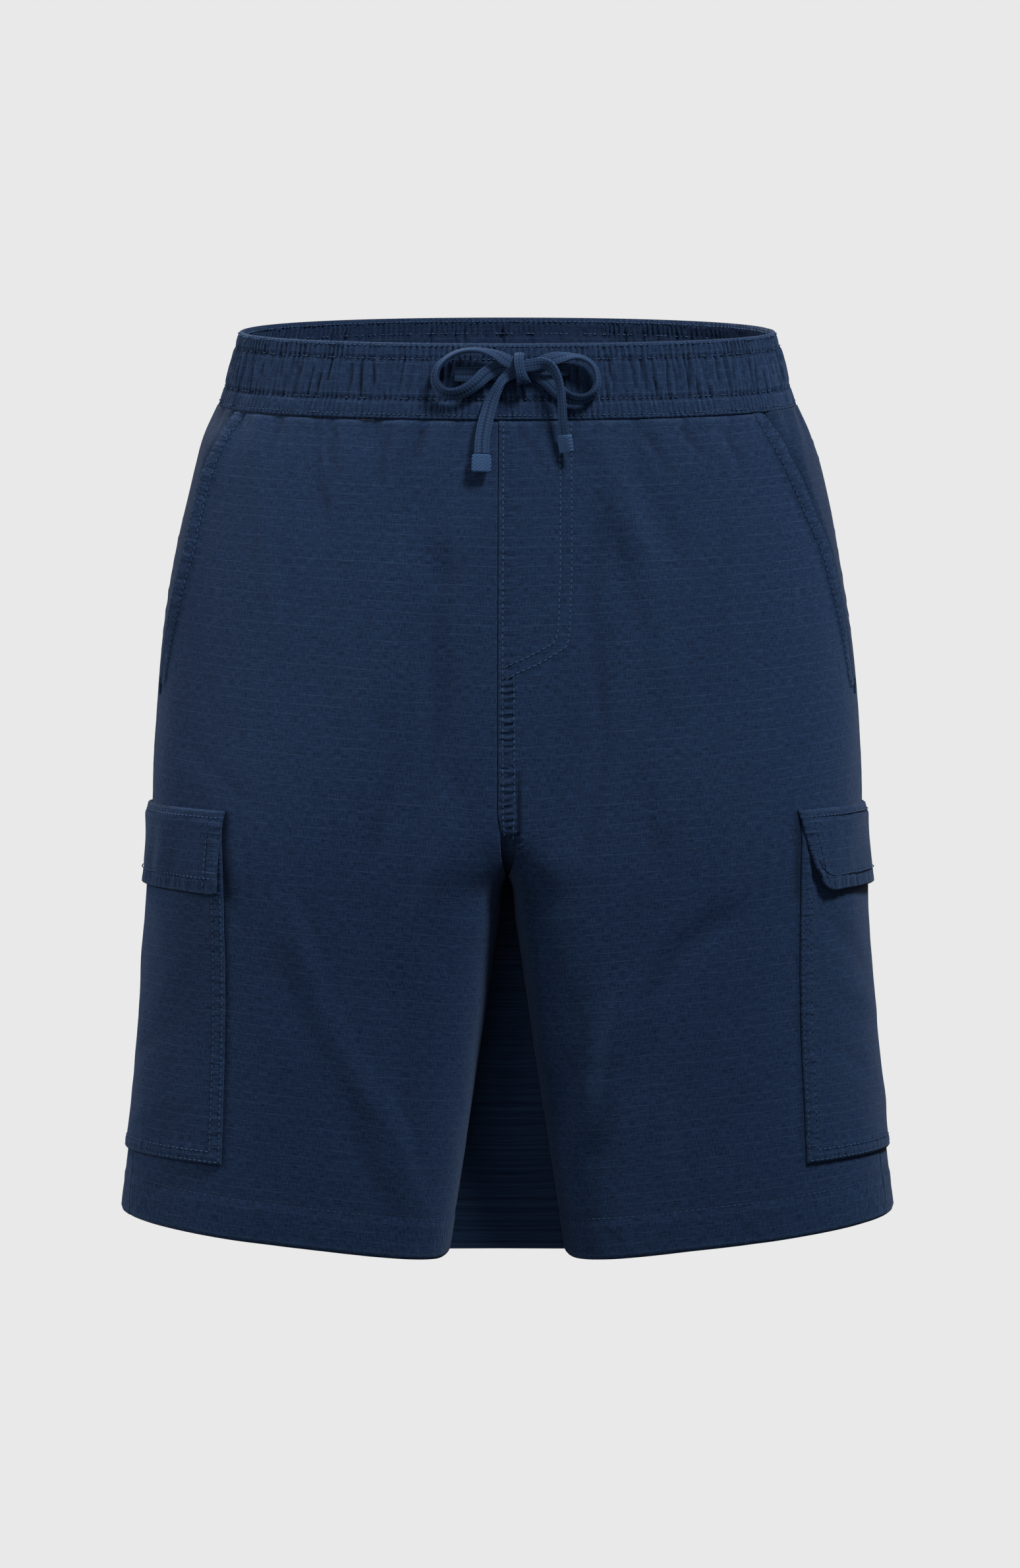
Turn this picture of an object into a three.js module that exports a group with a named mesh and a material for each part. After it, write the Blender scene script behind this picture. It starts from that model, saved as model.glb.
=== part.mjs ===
// Cargo shorts with an elastic waistband, filled out as worn. Millimetres, +Z up, front towards -Y,
// the wearer's left towards +X. The origin is the centre of the waist opening, about half way up the waistband.
import * as THREE from "three";

const RAD = Math.PI / 180;
const LEFT = 1;
const RIGHT = -1;

// Levels are measured downwards from the origin along the body, in millimetres.
const WAIST_TOP = -18.8;
const WAIST_SEAM = 23.3;
const CROTCH = 275;
const HEM = 485.4;
const LEGS_APART = 236; // below this level the two halves keep off the midline
const SEAM_GAP = 0.3;
const HALF_GAP = SEAM_GAP / 2;
const CLOTH = 1.2;

// One row per level: height of the section, its outer and inner reach from the midline, half depth to the
// front and to the back, superellipse power, the power of its inner front corner, roll and pitch of the section
// in degrees, and the angle of the side seam from straight ahead.
const SECTION_COLUMNS = ["z", "outer", "inner", "front", "back", "power", "corner", "roll", "pitch", "side"];
const SECTIONS = [
  [20.5, 149.0, -149.0, 100, 104, 2.15, 2.15, 0.0, 3.2, 94],
  [-22.5, 161.0, -161.0, 106, 110, 2.15, 2.15, 0.2, 2.9, 93],
  [-42, 169.3, -167, 110, 117, 2.2, 2.2, 0.9, 2.6, 92],
  [-80, 179.2, -168, 114, 125, 2.25, 2.3, 1.7, 2.1, 90],
  [-130, 188.8, -154, 117, 130, 2.3, 2.6, 2.6, 1.6, 87],
  [-180, 195.2, -116, 118, 131, 2.3, 3.6, 3.4, 1.2, 84],
  [-205, 197.3, -83, 117.6, 130.5, 2.3, 5, 3.8, 1.1, 82.7],
  [-230, 198.7, -45, 116.7, 129, 2.3, 6.6, 4.15, 0.95, 81.5],
  [-250, 199.2, -19, 115.5, 126.5, 2.25, 7, 4.4, 0.8, 80.5],
  [-264, 199.5, -6, 114.4, 124.2, 2.22, 6.6, 4.6, 0.7, 79.7],
  [-275, 199.8, 0.4, 113.3, 122, 2.2, 5.6, 4.8, 0.6, 79],
  [-300, 201.0, 4.2, 110, 117, 2.15, 4.9, 5.1, 0.4, 78],
  [-350, 204.3, 11.3, 103, 107, 2.1, 4.4, 5.6, 0.2, 76],
  [-420, 210.6, 21.8, 94, 95.5, 2.1, 4.1, 6.3, 0.0, 73],
  [-487, 218.3, 32, 86, 86, 2.1, 4, 6.8, 0.0, 69],
];
const INSEAM_FORWARD = 10; // degrees the inseam sits ahead of the leg's inner line
const INSEAM_FADE = 100;

// Folds of the cloth, each a ridge or a trough along a straight line on the surface: the leg it is on,
// the line's ends as distance behind the side seam and level, its half width and its height.
const FOLDS = [
  [RIGHT, -203, 115, -207, 220, 7, -3.0],
  [RIGHT, -218, 70, -226, 225, 9, 1.6],
  [RIGHT, -111, 26, -134, 95, 6, -1.2],
  [RIGHT, -140, 22, -162, 42, 5, -1.5],
  [RIGHT, -122, 304, -156, 370, 9, 1.8],
  [RIGHT, -156, 370, -193, 450, 8, 1.8],
  [RIGHT, -116, 330, -133, 376, 9, -1.2],
  [LEFT, -192, 95, -192, 200, 7, -2.5],
  [LEFT, -192, 200, -206, 250, 9, -1.5],
  [LEFT, -175, 28, -156, 176, 9, 2.4],
  [LEFT, -165, 55, -151, 102, 7, -1.8],
  [LEFT, -119, 299, -146, 317, 6, -1.4],
  [LEFT, -146, 317, -156, 338, 6, -1.4],
  [LEFT, -167, 337, -186, 388, 9, 1.6],
  [LEFT, -186, 388, -190, 417, 9, 1.6],
  [LEFT, -214, 375, -212, 412, 9, -2.2],
  [RIGHT, 104, 70, 131, 185, 9, -1.9],
  [RIGHT, 168, 95, 150, 210, 9, 1.7],
  [RIGHT, 150, 300, 118, 412, 9, -1.6],
  [RIGHT, 186, 330, 172, 440, 9, 1.5],
  [LEFT, 96, 60, 122, 172, 9, 1.8],
  [LEFT, 172, 120, 148, 228, 9, -1.9],
  [LEFT, 138, 292, 112, 395, 9, 1.6],
  [LEFT, 190, 300, 168, 372, 9, -1.6],
];
const FOLD_END = 22; // length over which a fold dies out
const FOLD_FREE = 30; // folds die out towards the midline seam over this width

// Short gathers that hang from the waistband seam.
const GATHER_PITCH = 27;
const GATHER_HEIGHT = 0.8;
const GATHER_DROP = 26;

function clamp(value, low, high) {
  return Math.min(high, Math.max(low, value));
}

function smooth(value) {
  const s = clamp(value, 0, 1);
  return s * s * (3 - 2 * s);
}

function mix(a, b, s) {
  return a + (b - a) * s;
}

// Straight-line reading of a table of [position, value] rows.
function table(rows, position) {
  if (position <= rows[0][0]) return rows[0][1];
  for (let i = 1; i < rows.length; i++) {
    const [x0, y0] = rows[i - 1];
    const [x1, y1] = rows[i];
    if (position <= x1) return mix(y0, y1, (position - x0) / (x1 - x0));
  }
  return rows[rows.length - 1][1];
}

// Slope of a section column at row i, from the rows on both sides.
function slope(values, i) {
  const x = SECTIONS.map((row) => -row[0]);
  const last = x.length - 1;
  if (i === 0) return (values[1] - values[0]) / (x[1] - x[0]);
  if (i === last) return (values[last] - values[last - 1]) / (x[last] - x[last - 1]);
  const before = (values[i] - values[i - 1]) / (x[i] - x[i - 1]);
  const after = (values[i + 1] - values[i]) / (x[i + 1] - x[i]);
  return (before * (x[i + 1] - x[i]) + after * (x[i] - x[i - 1])) / (x[i + 1] - x[i - 1]);
}

// Value of a named section column at a level, on a smooth curve through the table.
function column(name, level) {
  const at = SECTION_COLUMNS.indexOf(name);
  const values = SECTIONS.map((row) => row[at]);
  let k = 0;
  while (k < SECTIONS.length - 2 && level > -SECTIONS[k + 1][0]) k++;
  const start = -SECTIONS[k][0];
  const span = -SECTIONS[k + 1][0] - start;
  const s = clamp((level - start) / span, 0, 1);
  const s2 = s * s;
  const s3 = s2 * s;
  const value0 = (2 * s3 - 3 * s2 + 1) * values[k];
  const slope0 = (s3 - 2 * s2 + s) * span * slope(values, k);
  const value1 = (3 * s2 - 2 * s3) * values[k + 1];
  const slope1 = (s3 - s2) * span * slope(values, k + 1);
  return value0 + slope0 + value1 + slope1;
}

const sectionCache = new Map();

// The half loop of the wearer's left side at one level: shape numbers, end angles and arc lengths.
function section(level) {
  if (sectionCache.has(level)) return sectionCache.get(level);
  const s = { level };
  for (const name of SECTION_COLUMNS.slice(1)) s[name] = column(name, level);
  s.cosRoll = Math.cos(s.roll * RAD);
  s.sinRoll = Math.sin(s.roll * RAD);
  s.centre = (s.outer + s.inner) / 2;
  s.half = (s.outer - s.inner) / 2;
  const reach = Math.max(0, s.centre / s.cosRoll / s.half);
  if (s.inner < 0 && reach < 1) {
    s.start = -(Math.PI - Math.acos(reach ** (s.corner / 2)));
    s.end = Math.PI - Math.acos(reach ** (s.power / 2));
  } else {
    const forward = INSEAM_FORWARD * RAD * clamp((level - CROTCH) / INSEAM_FADE, 0, 1);
    const ahead = Math.asin(Math.sin(forward) ** (s.corner / s.power));
    s.start = -(Math.PI - ahead);
    s.end = Math.PI + ahead;
  }
  const STEPS = 360;
  s.arcs = [0];
  let last = onLoop(s, s.start);
  for (let i = 1; i <= STEPS; i++) {
    const next = onLoop(s, mix(s.start, s.end, i / STEPS));
    s.arcs.push(s.arcs[i - 1] + next.distanceTo(last));
    last = next;
  }
  s.total = s.arcs[STEPS];
  s.sideArc = arcAt(s, (s.side - 90) * RAD);
  sectionCache.set(level, s);
  return s;
}

// Point of a section at an angle: -90 degrees is straight ahead, 0 is the outer side, 90 is the back.
function onLoop(s, angle) {
  const c = Math.cos(angle);
  const n = Math.sin(angle);
  const power = n < 0 && c < 0 ? s.corner : s.power;
  const across = s.half * Math.sign(c) * Math.abs(c) ** (2 / power);
  const depth = (n < 0 ? s.front : s.back) * Math.sign(n) * Math.abs(n) ** (2 / power);
  return new THREE.Vector3(
    s.centre + across * s.cosRoll,
    depth * Math.cos(s.pitch * RAD),
    -s.level + across * s.sinRoll + depth * Math.sin(s.pitch * RAD),
  );
}

function arcAt(s, angle) {
  const place = (clamp(angle, s.start, s.end) - s.start) / (s.end - s.start);
  const x = place * (s.arcs.length - 1);
  const i = Math.min(Math.floor(x), s.arcs.length - 2);
  return mix(s.arcs[i], s.arcs[i + 1], x - i);
}

function angleAt(s, arc) {
  let low = 0;
  let high = s.arcs.length - 1;
  while (high - low > 1) {
    const middle = (low + high) >> 1;
    if (s.arcs[middle] <= arc) low = middle;
    else high = middle;
  }
  const part = (arc - s.arcs[low]) / (s.arcs[high] - s.arcs[low]);
  return mix(s.start, s.end, (low + part) / (s.arcs.length - 1));
}

// Outward normal of the body surface at a section's angle, for the wearer's left side.
function normalAt(s, angle) {
  const TURN = 0.004;
  const STEP = 0.5;
  const along = onLoop(s, angle + TURN).sub(onLoop(s, angle - TURN));
  const lower = onLoop(section(Math.min(s.level + STEP, HEM)), angle);
  const upper = onLoop(section(Math.max(s.level - STEP, WAIST_TOP)), angle);
  return along.cross(lower.sub(upper)).normalize().negate();
}

function sideArc(level) {
  return section(level).sideArc;
}

// Height of all folds at a level and distance behind the side seam.
function foldHeight(side, behind, level) {
  let height = 0;
  for (const [leg, u0, t0, u1, t1, width, rise] of FOLDS) {
    if (leg !== side) continue;
    const du = u1 - u0;
    const dt = t1 - t0;
    const length = Math.hypot(du, dt);
    const along = ((behind - u0) * du + (level - t0) * dt) / length;
    const away = ((behind - u0) * dt - (level - t0) * du) / length;
    const ends = smooth((along + FOLD_END) / FOLD_END) * smooth((length - along + FOLD_END) / FOLD_END);
    height += rise * ends * Math.exp(-0.5 * (away / width) ** 2);
  }
  return height;
}

// Gathers under the waistband, uneven along the seam and gone a few centimetres lower.
function gatherHeight(side, arc, level) {
  const drop = (level - WAIST_SEAM) / GATHER_DROP;
  if (drop < 0 || drop > 3) return 0;
  const phase = (2 * Math.PI * arc) / GATHER_PITCH + 1.1 * Math.sin(arc / 31 + side) + 0.7 * side;
  return GATHER_HEIGHT * Math.sin(phase) * Math.exp(-drop * drop);
}

// A point of the garment: level, arc from the front midline (below zero is past the midline), and distance
// outside the cloth's face.
function place(side, level, arc, off) {
  const s = section(level);
  const real = arc < 0 ? -side : side;
  const reach = Math.abs(arc);
  const angle = angleAt(s, clamp(reach, 0, s.total));
  const p = onLoop(s, angle);
  const n = normalAt(s, angle);
  const toInseam = Math.min(reach, s.total - reach);
  const free = smooth(Math.min(toInseam, p.x + Math.max(0, level - CROTCH)) / FOLD_FREE);
  const rise = free * (foldHeight(real, reach - s.sideArc, level) + gatherHeight(real, reach, level));
  p.addScaledVector(n, off + rise);
  p.x = real * Math.max(p.x, level > LEGS_APART ? HALF_GAP : -Infinity);
  return p;
}

// Grid surfaces

// Collects triangles and makes one closed geometry that faces outwards.
class Shell {
  constructor() {
    this.points = [];
    this.faces = [];
  }
  add(p) {
    this.points.push(p);
    return this.points.length - 1;
  }
  quad(a, b, c, d) {
    this.faces.push([a, b, c], [a, c, d]);
  }
  geometry() {
    let volume = 0;
    const p = this.points;
    for (const [a, b, c] of this.faces) volume += p[a].dot(p[b].clone().cross(p[c]));
    const index = volume < 0 ? this.faces.map(([a, b, c]) => [a, c, b]) : this.faces;
    const flat = new Float32Array(p.length * 3);
    p.forEach((v, i) => v.toArray(flat, i * 3));
    const made = new THREE.BufferGeometry();
    made.setAttribute("position", new THREE.BufferAttribute(flat, 3));
    made.setIndex(index.flat());
    made.computeVertexNormals();
    return made;
  }
}

// Adds a grid of points to a shell, with its squares. Flipped turns the squares to face the other way, and
// joined closes the last column onto the first. Returns the grid of point numbers.
function addGrid(shell, rows, columns, point, flipped, joined) {
  const grid = [];
  for (let i = 0; i < rows; i++) {
    grid.push([]);
    for (let j = 0; j < columns; j++) grid[i].push(shell.add(point(i, j)));
  }
  const squares = joined ? columns : columns - 1;
  for (let i = 0; i + 1 < rows; i++) {
    for (let j = 0; j < squares; j++) {
      const corners = [grid[i][j], grid[i][(j + 1) % columns], grid[i + 1][(j + 1) % columns], grid[i + 1][j]];
      if (flipped) corners.reverse();
      shell.quad(...corners);
    }
  }
  return grid;
}

// Closes the rim between an edge of the outer face and the same edge of the inner face.
function addRim(shell, outer, inner, joined) {
  const count = outer.length;
  const squares = joined ? count : count - 1;
  for (let j = 0; j < squares; j++) {
    const k = (j + 1) % count;
    shell.quad(outer[k], outer[j], inner[j], inner[k]);
  }
}

// A wall of cloth: rows by columns of points on its outer face and on its inner face, with closed rims.
function wall(rows, columns, outer, inner) {
  const shell = new Shell();
  const out = addGrid(shell, rows, columns, outer, false, false);
  const inn = addGrid(shell, rows, columns, inner, true, false);
  addRim(shell, out[0], inn[0], false);
  addRim(shell, [...out[rows - 1]].reverse(), [...inn[rows - 1]].reverse(), false);
  const columnOf = (grid, j) => grid.map((row) => row[j]);
  addRim(shell, columnOf(out, columns - 1), columnOf(inn, columns - 1), false);
  addRim(shell, columnOf(out, 0).reverse(), columnOf(inn, 0).reverse(), false);
  return shell.geometry();
}

// A closed band of cloth: its inner face may have fewer rows than its outer one.
function ringWall(outerRows, innerRows, columns, outer, inner) {
  const shell = new Shell();
  const out = addGrid(shell, outerRows, columns, outer, false, true);
  const inn = addGrid(shell, innerRows, columns, inner, true, true);
  addRim(shell, out[0], inn[0], true);
  addRim(shell, [...out[outerRows - 1]].reverse(), [...inn[innerRows - 1]].reverse(), true);
  return shell.geometry();
}

// Panels

const PANEL_LEVELS = [
  WAIST_SEAM + HALF_GAP, 34, 47, 66, 92, 122, 154, 186.6, 191.5, 212, 232, 246, 257, 266, 272, 275.5, 282,
  297, 325, 365, 410, 450, 475, HEM,
];
const PANEL_COLUMNS = 21;
const POCKET_END = 186.6; // lowest level of the slanted hand pocket's mouth
const POCKET_CLOSED = 191.5; // below this level the front panel reaches the side seam

// Distance of the slanted pocket mouth behind the side seam, by level.
const MOUTH = {
  [RIGHT]: [
    [22, -52],
    [46, -50],
    [75, -44.3],
    [108, -39.7],
    [136, -30.4],
    [158, -21.5],
    [187, -12.5],
  ],
  [LEFT]: [
    [22, -67],
    [50, -64.5],
    [79, -53],
    [108, -38.5],
    [136, -29.3],
    [161, -20.5],
    [187, -13],
  ],
};
const MOUTH_GAPE = { [RIGHT]: 0.8, [LEFT]: 0.4 };

// How far the centre-front seam lies to the wearer's right of the midline, by level.
const FRONT_SEAM = [
  [22, 4.4],
  [82, 3.7],
  [136, 2.6],
  [207, 1.2],
  [232, 0],
];

function frontEdge(side, level) {
  return (side === LEFT ? -1 : 1) * table(FRONT_SEAM, level) + HALF_GAP;
}

function mouthArc(side, level) {
  return sideArc(level) + table(MOUTH[side], level);
}

function frontSideEdge(side, level) {
  const seam = sideArc(level) - HALF_GAP;
  if (level >= POCKET_CLOSED) return seam;
  return mouthArc(side, Math.min(level, POCKET_END));
}

function panel(side, firstArc, lastArc, lift) {
  const point = (off) => (i, j) => {
    const level = PANEL_LEVELS[i];
    const share = j / (PANEL_COLUMNS - 1);
    const arc = mix(firstArc(level), lastArc(level), share);
    return place(side, level, arc, off + lift(level, arc));
  };
  return wall(PANEL_LEVELS.length, PANEL_COLUMNS, point(0), point(-CLOTH));
}

// The free edge of the pocket mouth stands a little off the facing behind it, most about half way down.
const GAPE_WIDTH = 14;
const GAPE_TOP = 40;
const GAPE_END = 130;
const GAPE_BLEND = 35;

function gape(side, level, arc) {
  if (level > POCKET_END) return 0;
  const near = smooth(1 - (mouthArc(side, level) - arc) / GAPE_WIDTH);
  const middle = smooth((level - GAPE_TOP) / GAPE_BLEND) * smooth((GAPE_END - level) / GAPE_BLEND);
  return MOUTH_GAPE[side] * near * middle;
}

function frontPanel(side) {
  return panel(
    side,
    (level) => frontEdge(side, level),
    (level) => frontSideEdge(side, level),
    (level, arc) => gape(side, level, arc),
  );
}

function backPanel(side) {
  return panel(
    side,
    (level) => sideArc(level) + HALF_GAP,
    (level) => section(level).total - HALF_GAP,
    () => 0,
  );
}

// Hand pocket facing: seen between the mouth and the side seam, and tucked under the front panel.
const FACING_LEVELS = [WAIST_SEAM + HALF_GAP, 34, 47, 66, 92, 122, 154, 175, POCKET_END - 0.5];
const FACING_TUCK = 9;
const FACING_STEPS = [0, 0.5, 1];
const FACING_SEEN = 6;
const FACING_START = 0.6; // the facing is still under the front this far behind the mouth
const FACING_RISE = 12; // width over which it comes up to the surface
const UNDER = CLOTH + 0.65;

function facing(side) {
  const columns = FACING_STEPS.length + FACING_SEEN;
  const point = (off) => (i, j) => {
    const level = FACING_LEVELS[i];
    const mouth = mouthArc(side, level);
    const seam = sideArc(level) - HALF_GAP;
    let behind = (FACING_STEPS[j] - 1) * FACING_TUCK + FACING_START;
    if (j >= FACING_STEPS.length) {
      const share = (j - FACING_STEPS.length + 1) / FACING_SEEN;
      behind = mix(FACING_START, seam - mouth, share);
    }
    const rise = smooth((behind - FACING_START) / Math.min(FACING_RISE, seam - mouth - FACING_START));
    return place(side, level, mouth + behind, off - UNDER * (1 - rise));
  };
  return wall(FACING_LEVELS.length, columns, point(0), point(-CLOTH));
}

// Cargo pocket and its flap

// A patch on the side of the leg, turned a little as the photo shows it. Across runs backwards from the front
// edge and down runs from the flap's top edge, both in millimetres.
const PATCH = {
  [RIGHT]: { behind: -89.5, level: 246.5, leanDown: 0.056, leanAcross: 0.058 },
  [LEFT]: { behind: -83.5, level: 246.8, leanDown: 0.067, leanAcross: 0.058 },
};
const PATCH_WIDTH = 156;
const PATCH_HEIGHT = 198;
const POCKET_TOP = 8.5;
const POCKET_INSET = 1.8;
const PATCH_GAP = 0.55;
const PATCH_CLOTH = 1.1;
const POCKET_BULGE = 0.5;
const PATCH_COLUMNS = 15;
const PATCH_DOWNS = [POCKET_TOP, 16, 30, 46, 62, 86, 116, 150, 180, PATCH_HEIGHT];
const FLAP_DOWNS = [0, 0.06, 0.17, 0.34, 0.56, 0.78, 1];
const FLAP_CLOTH = 1.3;
const FLAP_HEIGHT = 46;
const FLAP_CLEAR = 0.4; // between the pocket and the flap over it

function onPatch(side, across, down, off) {
  const p = PATCH[side];
  const level = p.level + down + p.leanAcross * across;
  const behind = p.behind + across + p.leanDown * down;
  return place(side, level, sideArc(level) + behind, off);
}

// The pocket bag stands off a little more in the middle than along its sewn edges.
function pocketOuter(across, down) {
  const share = clamp(across / PATCH_WIDTH, 0, 1);
  const drop = clamp(down / PATCH_HEIGHT, 0, 1);
  const bulge = Math.sin(Math.PI * share) * Math.sin(Math.PI * Math.min(1, 0.25 + 0.75 * drop));
  return PATCH_GAP + PATCH_CLOTH + POCKET_BULGE * bulge;
}

function cargoPocket(side) {
  const point = (thick) => (i, j) => {
    const across = mix(POCKET_INSET, PATCH_WIDTH - POCKET_INSET, j / (PATCH_COLUMNS - 1));
    const down = PATCH_DOWNS[i];
    return onPatch(side, across, down, pocketOuter(across, down) - thick);
  };
  return wall(PATCH_DOWNS.length, PATCH_COLUMNS, point(0), point(PATCH_CLOTH));
}

// The flap's front and back edges swing in towards its free lower edge, which has clipped corners.
const FLAP_FRONT = {
  [RIGHT]: [
    [0, 0],
    [0.5, 0.8],
    [1, 4],
  ],
  [LEFT]: [
    [0, 0],
    [0.31, 1.8],
    [0.46, 4.5],
    [0.85, 10.5],
    [1, 15],
  ],
};
const FLAP_CORNER = { [RIGHT]: [6, 1.5], [LEFT]: [14, 4] }; // reach and depth of the clipped corner

function flapAcross(side, down, share) {
  const inset = table(FLAP_FRONT[side], down);
  return mix(inset, PATCH_WIDTH - inset, share);
}

function flapLower(side, across) {
  const [reach, depth] = FLAP_CORNER[side];
  const toEnd = Math.min(across, PATCH_WIDTH - across) - table(FLAP_FRONT[side], 1);
  return FLAP_HEIGHT - depth * (1 - smooth(toEnd / reach));
}

function flapInner(across, down) {
  const over = pocketOuter(across, down) + FLAP_CLEAR;
  return mix(PATCH_GAP, over, smooth(down / (POCKET_TOP - 1)));
}

function pocketFlap(side) {
  const point = (thick) => (i, j) => {
    const part = FLAP_DOWNS[i];
    const across = flapAcross(side, part, j / (PATCH_COLUMNS - 1));
    const down = part * flapLower(side, across);
    return onPatch(side, across, down, flapInner(across, down) + thick);
  };
  return wall(FLAP_DOWNS.length, PATCH_COLUMNS, point(FLAP_CLOTH), point(0));
}

// Waistband

const CREASES = 54;
const BAND_THICK = 4;
const BAND_LEVELS = [WAIST_TOP, -17, -10.6, -7, 0, 7, 12.6, 19, WAIST_SEAM - HALF_GAP];
const BAND_HEIGHT = [0.1, 0.5, 0.35, 0.9, 1.3, 1.1, 0.4, 0.45, 0.2]; // gather height at each level
const BAND_INNER_LEVELS = [WAIST_TOP, 2, WAIST_SEAM - HALF_GAP];
// Place of each point within one crease, and its height.
const CREASE_PROFILE = [
  [0, -0.75],
  [0.36, 0.75],
  [0.7, 0.6],
];

// Position of a crease around the waist as a share of the whole ring, unevenly spaced.
function creaseAt(k) {
  return (k + 0.28 * Math.sin(k * 2.4) + 0.18 * Math.sin(k * 5.1 + 1)) / CREASES;
}

// Point of the waistband at a share of the ring that runs from the front midline over the wearer's left.
function onBand(level, share, off) {
  const turn = ((share % 1) + 1) % 1;
  const total = section(level).total;
  const side = turn < 0.5 ? LEFT : RIGHT;
  const arc = 2 * total * (turn < 0.5 ? turn : 1 - turn);
  const s = section(level);
  const angle = angleAt(s, clamp(arc, 0, s.total));
  const p = onLoop(s, angle).addScaledVector(normalAt(s, angle), off);
  p.x *= side;
  return p;
}

function waistband() {
  const perCrease = CREASE_PROFILE.length;
  const columns = CREASES * perCrease;
  const shareOf = (j) => {
    const k = Math.floor(j / perCrease);
    const [part] = CREASE_PROFILE[j % perCrease];
    return mix(creaseAt(k), k + 1 === CREASES ? 1 + creaseAt(0) : creaseAt(k + 1), part);
  };
  const outer = (i, j) => {
    const k = Math.floor(j / perCrease);
    const [, height] = CREASE_PROFILE[j % perCrease];
    const uneven = 0.75 + 0.25 * Math.sin(k * 1.7 + i);
    return onBand(BAND_LEVELS[i], shareOf(j), BAND_HEIGHT[i] * height * uneven);
  };
  const inner = (i, j) => onBand(BAND_INNER_LEVELS[i], shareOf(j), -BAND_THICK);
  return ringWall(BAND_LEVELS.length, BAND_INNER_LEVELS.length, columns, outer, inner);
}

// Drawstring

// Each row: x, distance off the waistband's face, z, half width, half thickness and the turn of the flat side
// away from facing forwards, in degrees about the cord.
const CORD_COLUMNS = 6;
const CORD_RIGHT = [
  [-28.6, 3.0, -3.7, 4.2, 1.2, 0],
  [-19.7, 2.9, -3.7, 4.2, 1.2, 0],
  [-8.9, 2.8, -3.0, 4.0, 1.15, 0],
  [0.1, 2.7, -2.2, 3.6, 1.05, 0],
  [8.0, 2.7, -1.9, 3.5, 1.05, 0],
  [15.1, 2.7, -3.3, 3.6, 1.05, 0],
  [21.6, 2.8, -7.4, 3.9, 1.1, 0],
  [28.0, 4.0, -13.1, 4.2, 1.2, 14],
  [34.5, 6.2, -16.6, 4.4, 1.3, 40],
  [41.6, 7.2, -17.0, 4.4, 1.3, 55],
  [47.0, 8.0, -13.6, 4.4, 1.3, 65],
  [49.2, 8.4, -7.2, 4.4, 1.3, 72],
  [47.4, 8.6, 0.3, 4.4, 1.3, 78],
  [42.4, 8.6, 4.6, 4.4, 1.3, 80],
  [35.9, 8.5, 6.0, 4.3, 1.3, 75],
  [28.7, 8.4, 5.4, 4.0, 1.2, 42],
  [21.6, 8.1, 3.8, 3.6, 1.1, 6],
  [15.1, 7.6, 1.0, 3.5, 1.05, 0],
  [7.9, 7.6, -0.6, 3.5, 1.05, 0],
  [2.4, 7.7, -2.8, 3.6, 1.05, 0],
  [-2.6, 7.6, -7.0, 3.9, 1.15, 6],
  [-6.0, 6.6, -12.6, 4.1, 1.2, 16],
  [-8.9, 5.4, -19.3, 4.2, 1.25, 20],
  [-11.8, 5.2, -29.3, 4.3, 1.25, 12],
  [-13.5, 5.2, -38.6, 4.3, 1.25, 5],
  [-13.9, 5.2, -46.6, 4.3, 1.25, 0],
];
const CORD_LEFT = [
  [33.0, 3.0, -1.2, 3.5, 1.1, 0],
  [25.4, 5.7, -1.3, 3.4, 1.05, 0],
  [16.2, 5.25, -1.1, 3.4, 1.05, 0],
  [8.0, 5.15, -0.6, 3.5, 1.05, 0],
  [0.6, 5.2, 0.2, 3.6, 1.05, 0],
  [-5.4, 5.8, -0.3, 3.8, 1.1, 0],
  [-11.4, 7.2, -3.4, 4.2, 1.2, -12],
  [-17.1, 8.4, -8.4, 4.4, 1.25, -28],
  [-23.6, 7.8, -12.8, 4.4, 1.3, -36],
  [-30.4, 7.2, -14.4, 4.4, 1.3, -44],
  [-36.1, 7.2, -12.4, 4.4, 1.3, -54],
  [-39.4, 7.4, -6.8, 4.4, 1.3, -62],
  [-37.9, 7.8, 0.0, 4.4, 1.3, -72],
  [-32.2, 8.2, 5.6, 4.4, 1.3, -80],
  [-24.3, 8.6, 9.0, 4.4, 1.3, -82],
  [-15.0, 9.0, 9.4, 4.3, 1.3, -80],
  [-6.4, 9.6, 7.2, 4.0, 1.2, -60],
  [0.6, 10.1, 3.4, 3.6, 1.1, -16],
  [7.9, 10.05, 0.9, 3.5, 1.05, 0],
  [13.7, 10.2, 1.4, 3.5, 1.05, 0],
  [18.7, 11.2, 2.2, 3.6, 1.1, 18],
  [23.7, 12.6, 0.6, 3.9, 1.15, 45],
  [27.3, 12.6, -5.2, 4.1, 1.2, 60],
  [29.1, 12.2, -12.1, 4.2, 1.25, 66],
  [29.8, 11.4, -20.3, 4.3, 1.25, 64],
  [30.2, 9.4, -29.3, 4.3, 1.25, 60],
  [31.0, 7.6, -36.0, 4.3, 1.25, 50],
];
const CORD_SIDES = [
  [1, 0],
  [0.78, 0.8],
  [0, 1],
  [-0.78, 0.8],
  [-1, 0],
  [-0.78, -0.8],
  [0, -1],
  [0.78, -0.8],
];
const CORD_STEPS = 58;

// Depth of the front face at a height, on the waistband and on the panels under it.
function frontFace(x, z) {
  const HIGH = -25;
  const LOW = 90;
  const reachAt = (level) => {
    const s = section(level);
    const share = clamp(Math.abs(x) / s.half, 0, 0.95);
    return onLoop(s, -Math.acos(share ** (s.power / 2)));
  };
  let low = HIGH;
  let high = LOW;
  for (let i = 0; i < 24; i++) {
    const middle = (low + high) / 2;
    if (reachAt(Math.max(middle, WAIST_TOP)).z > z) low = middle;
    else high = middle;
  }
  return reachAt(Math.max(low, WAIST_TOP)).y;
}

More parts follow.
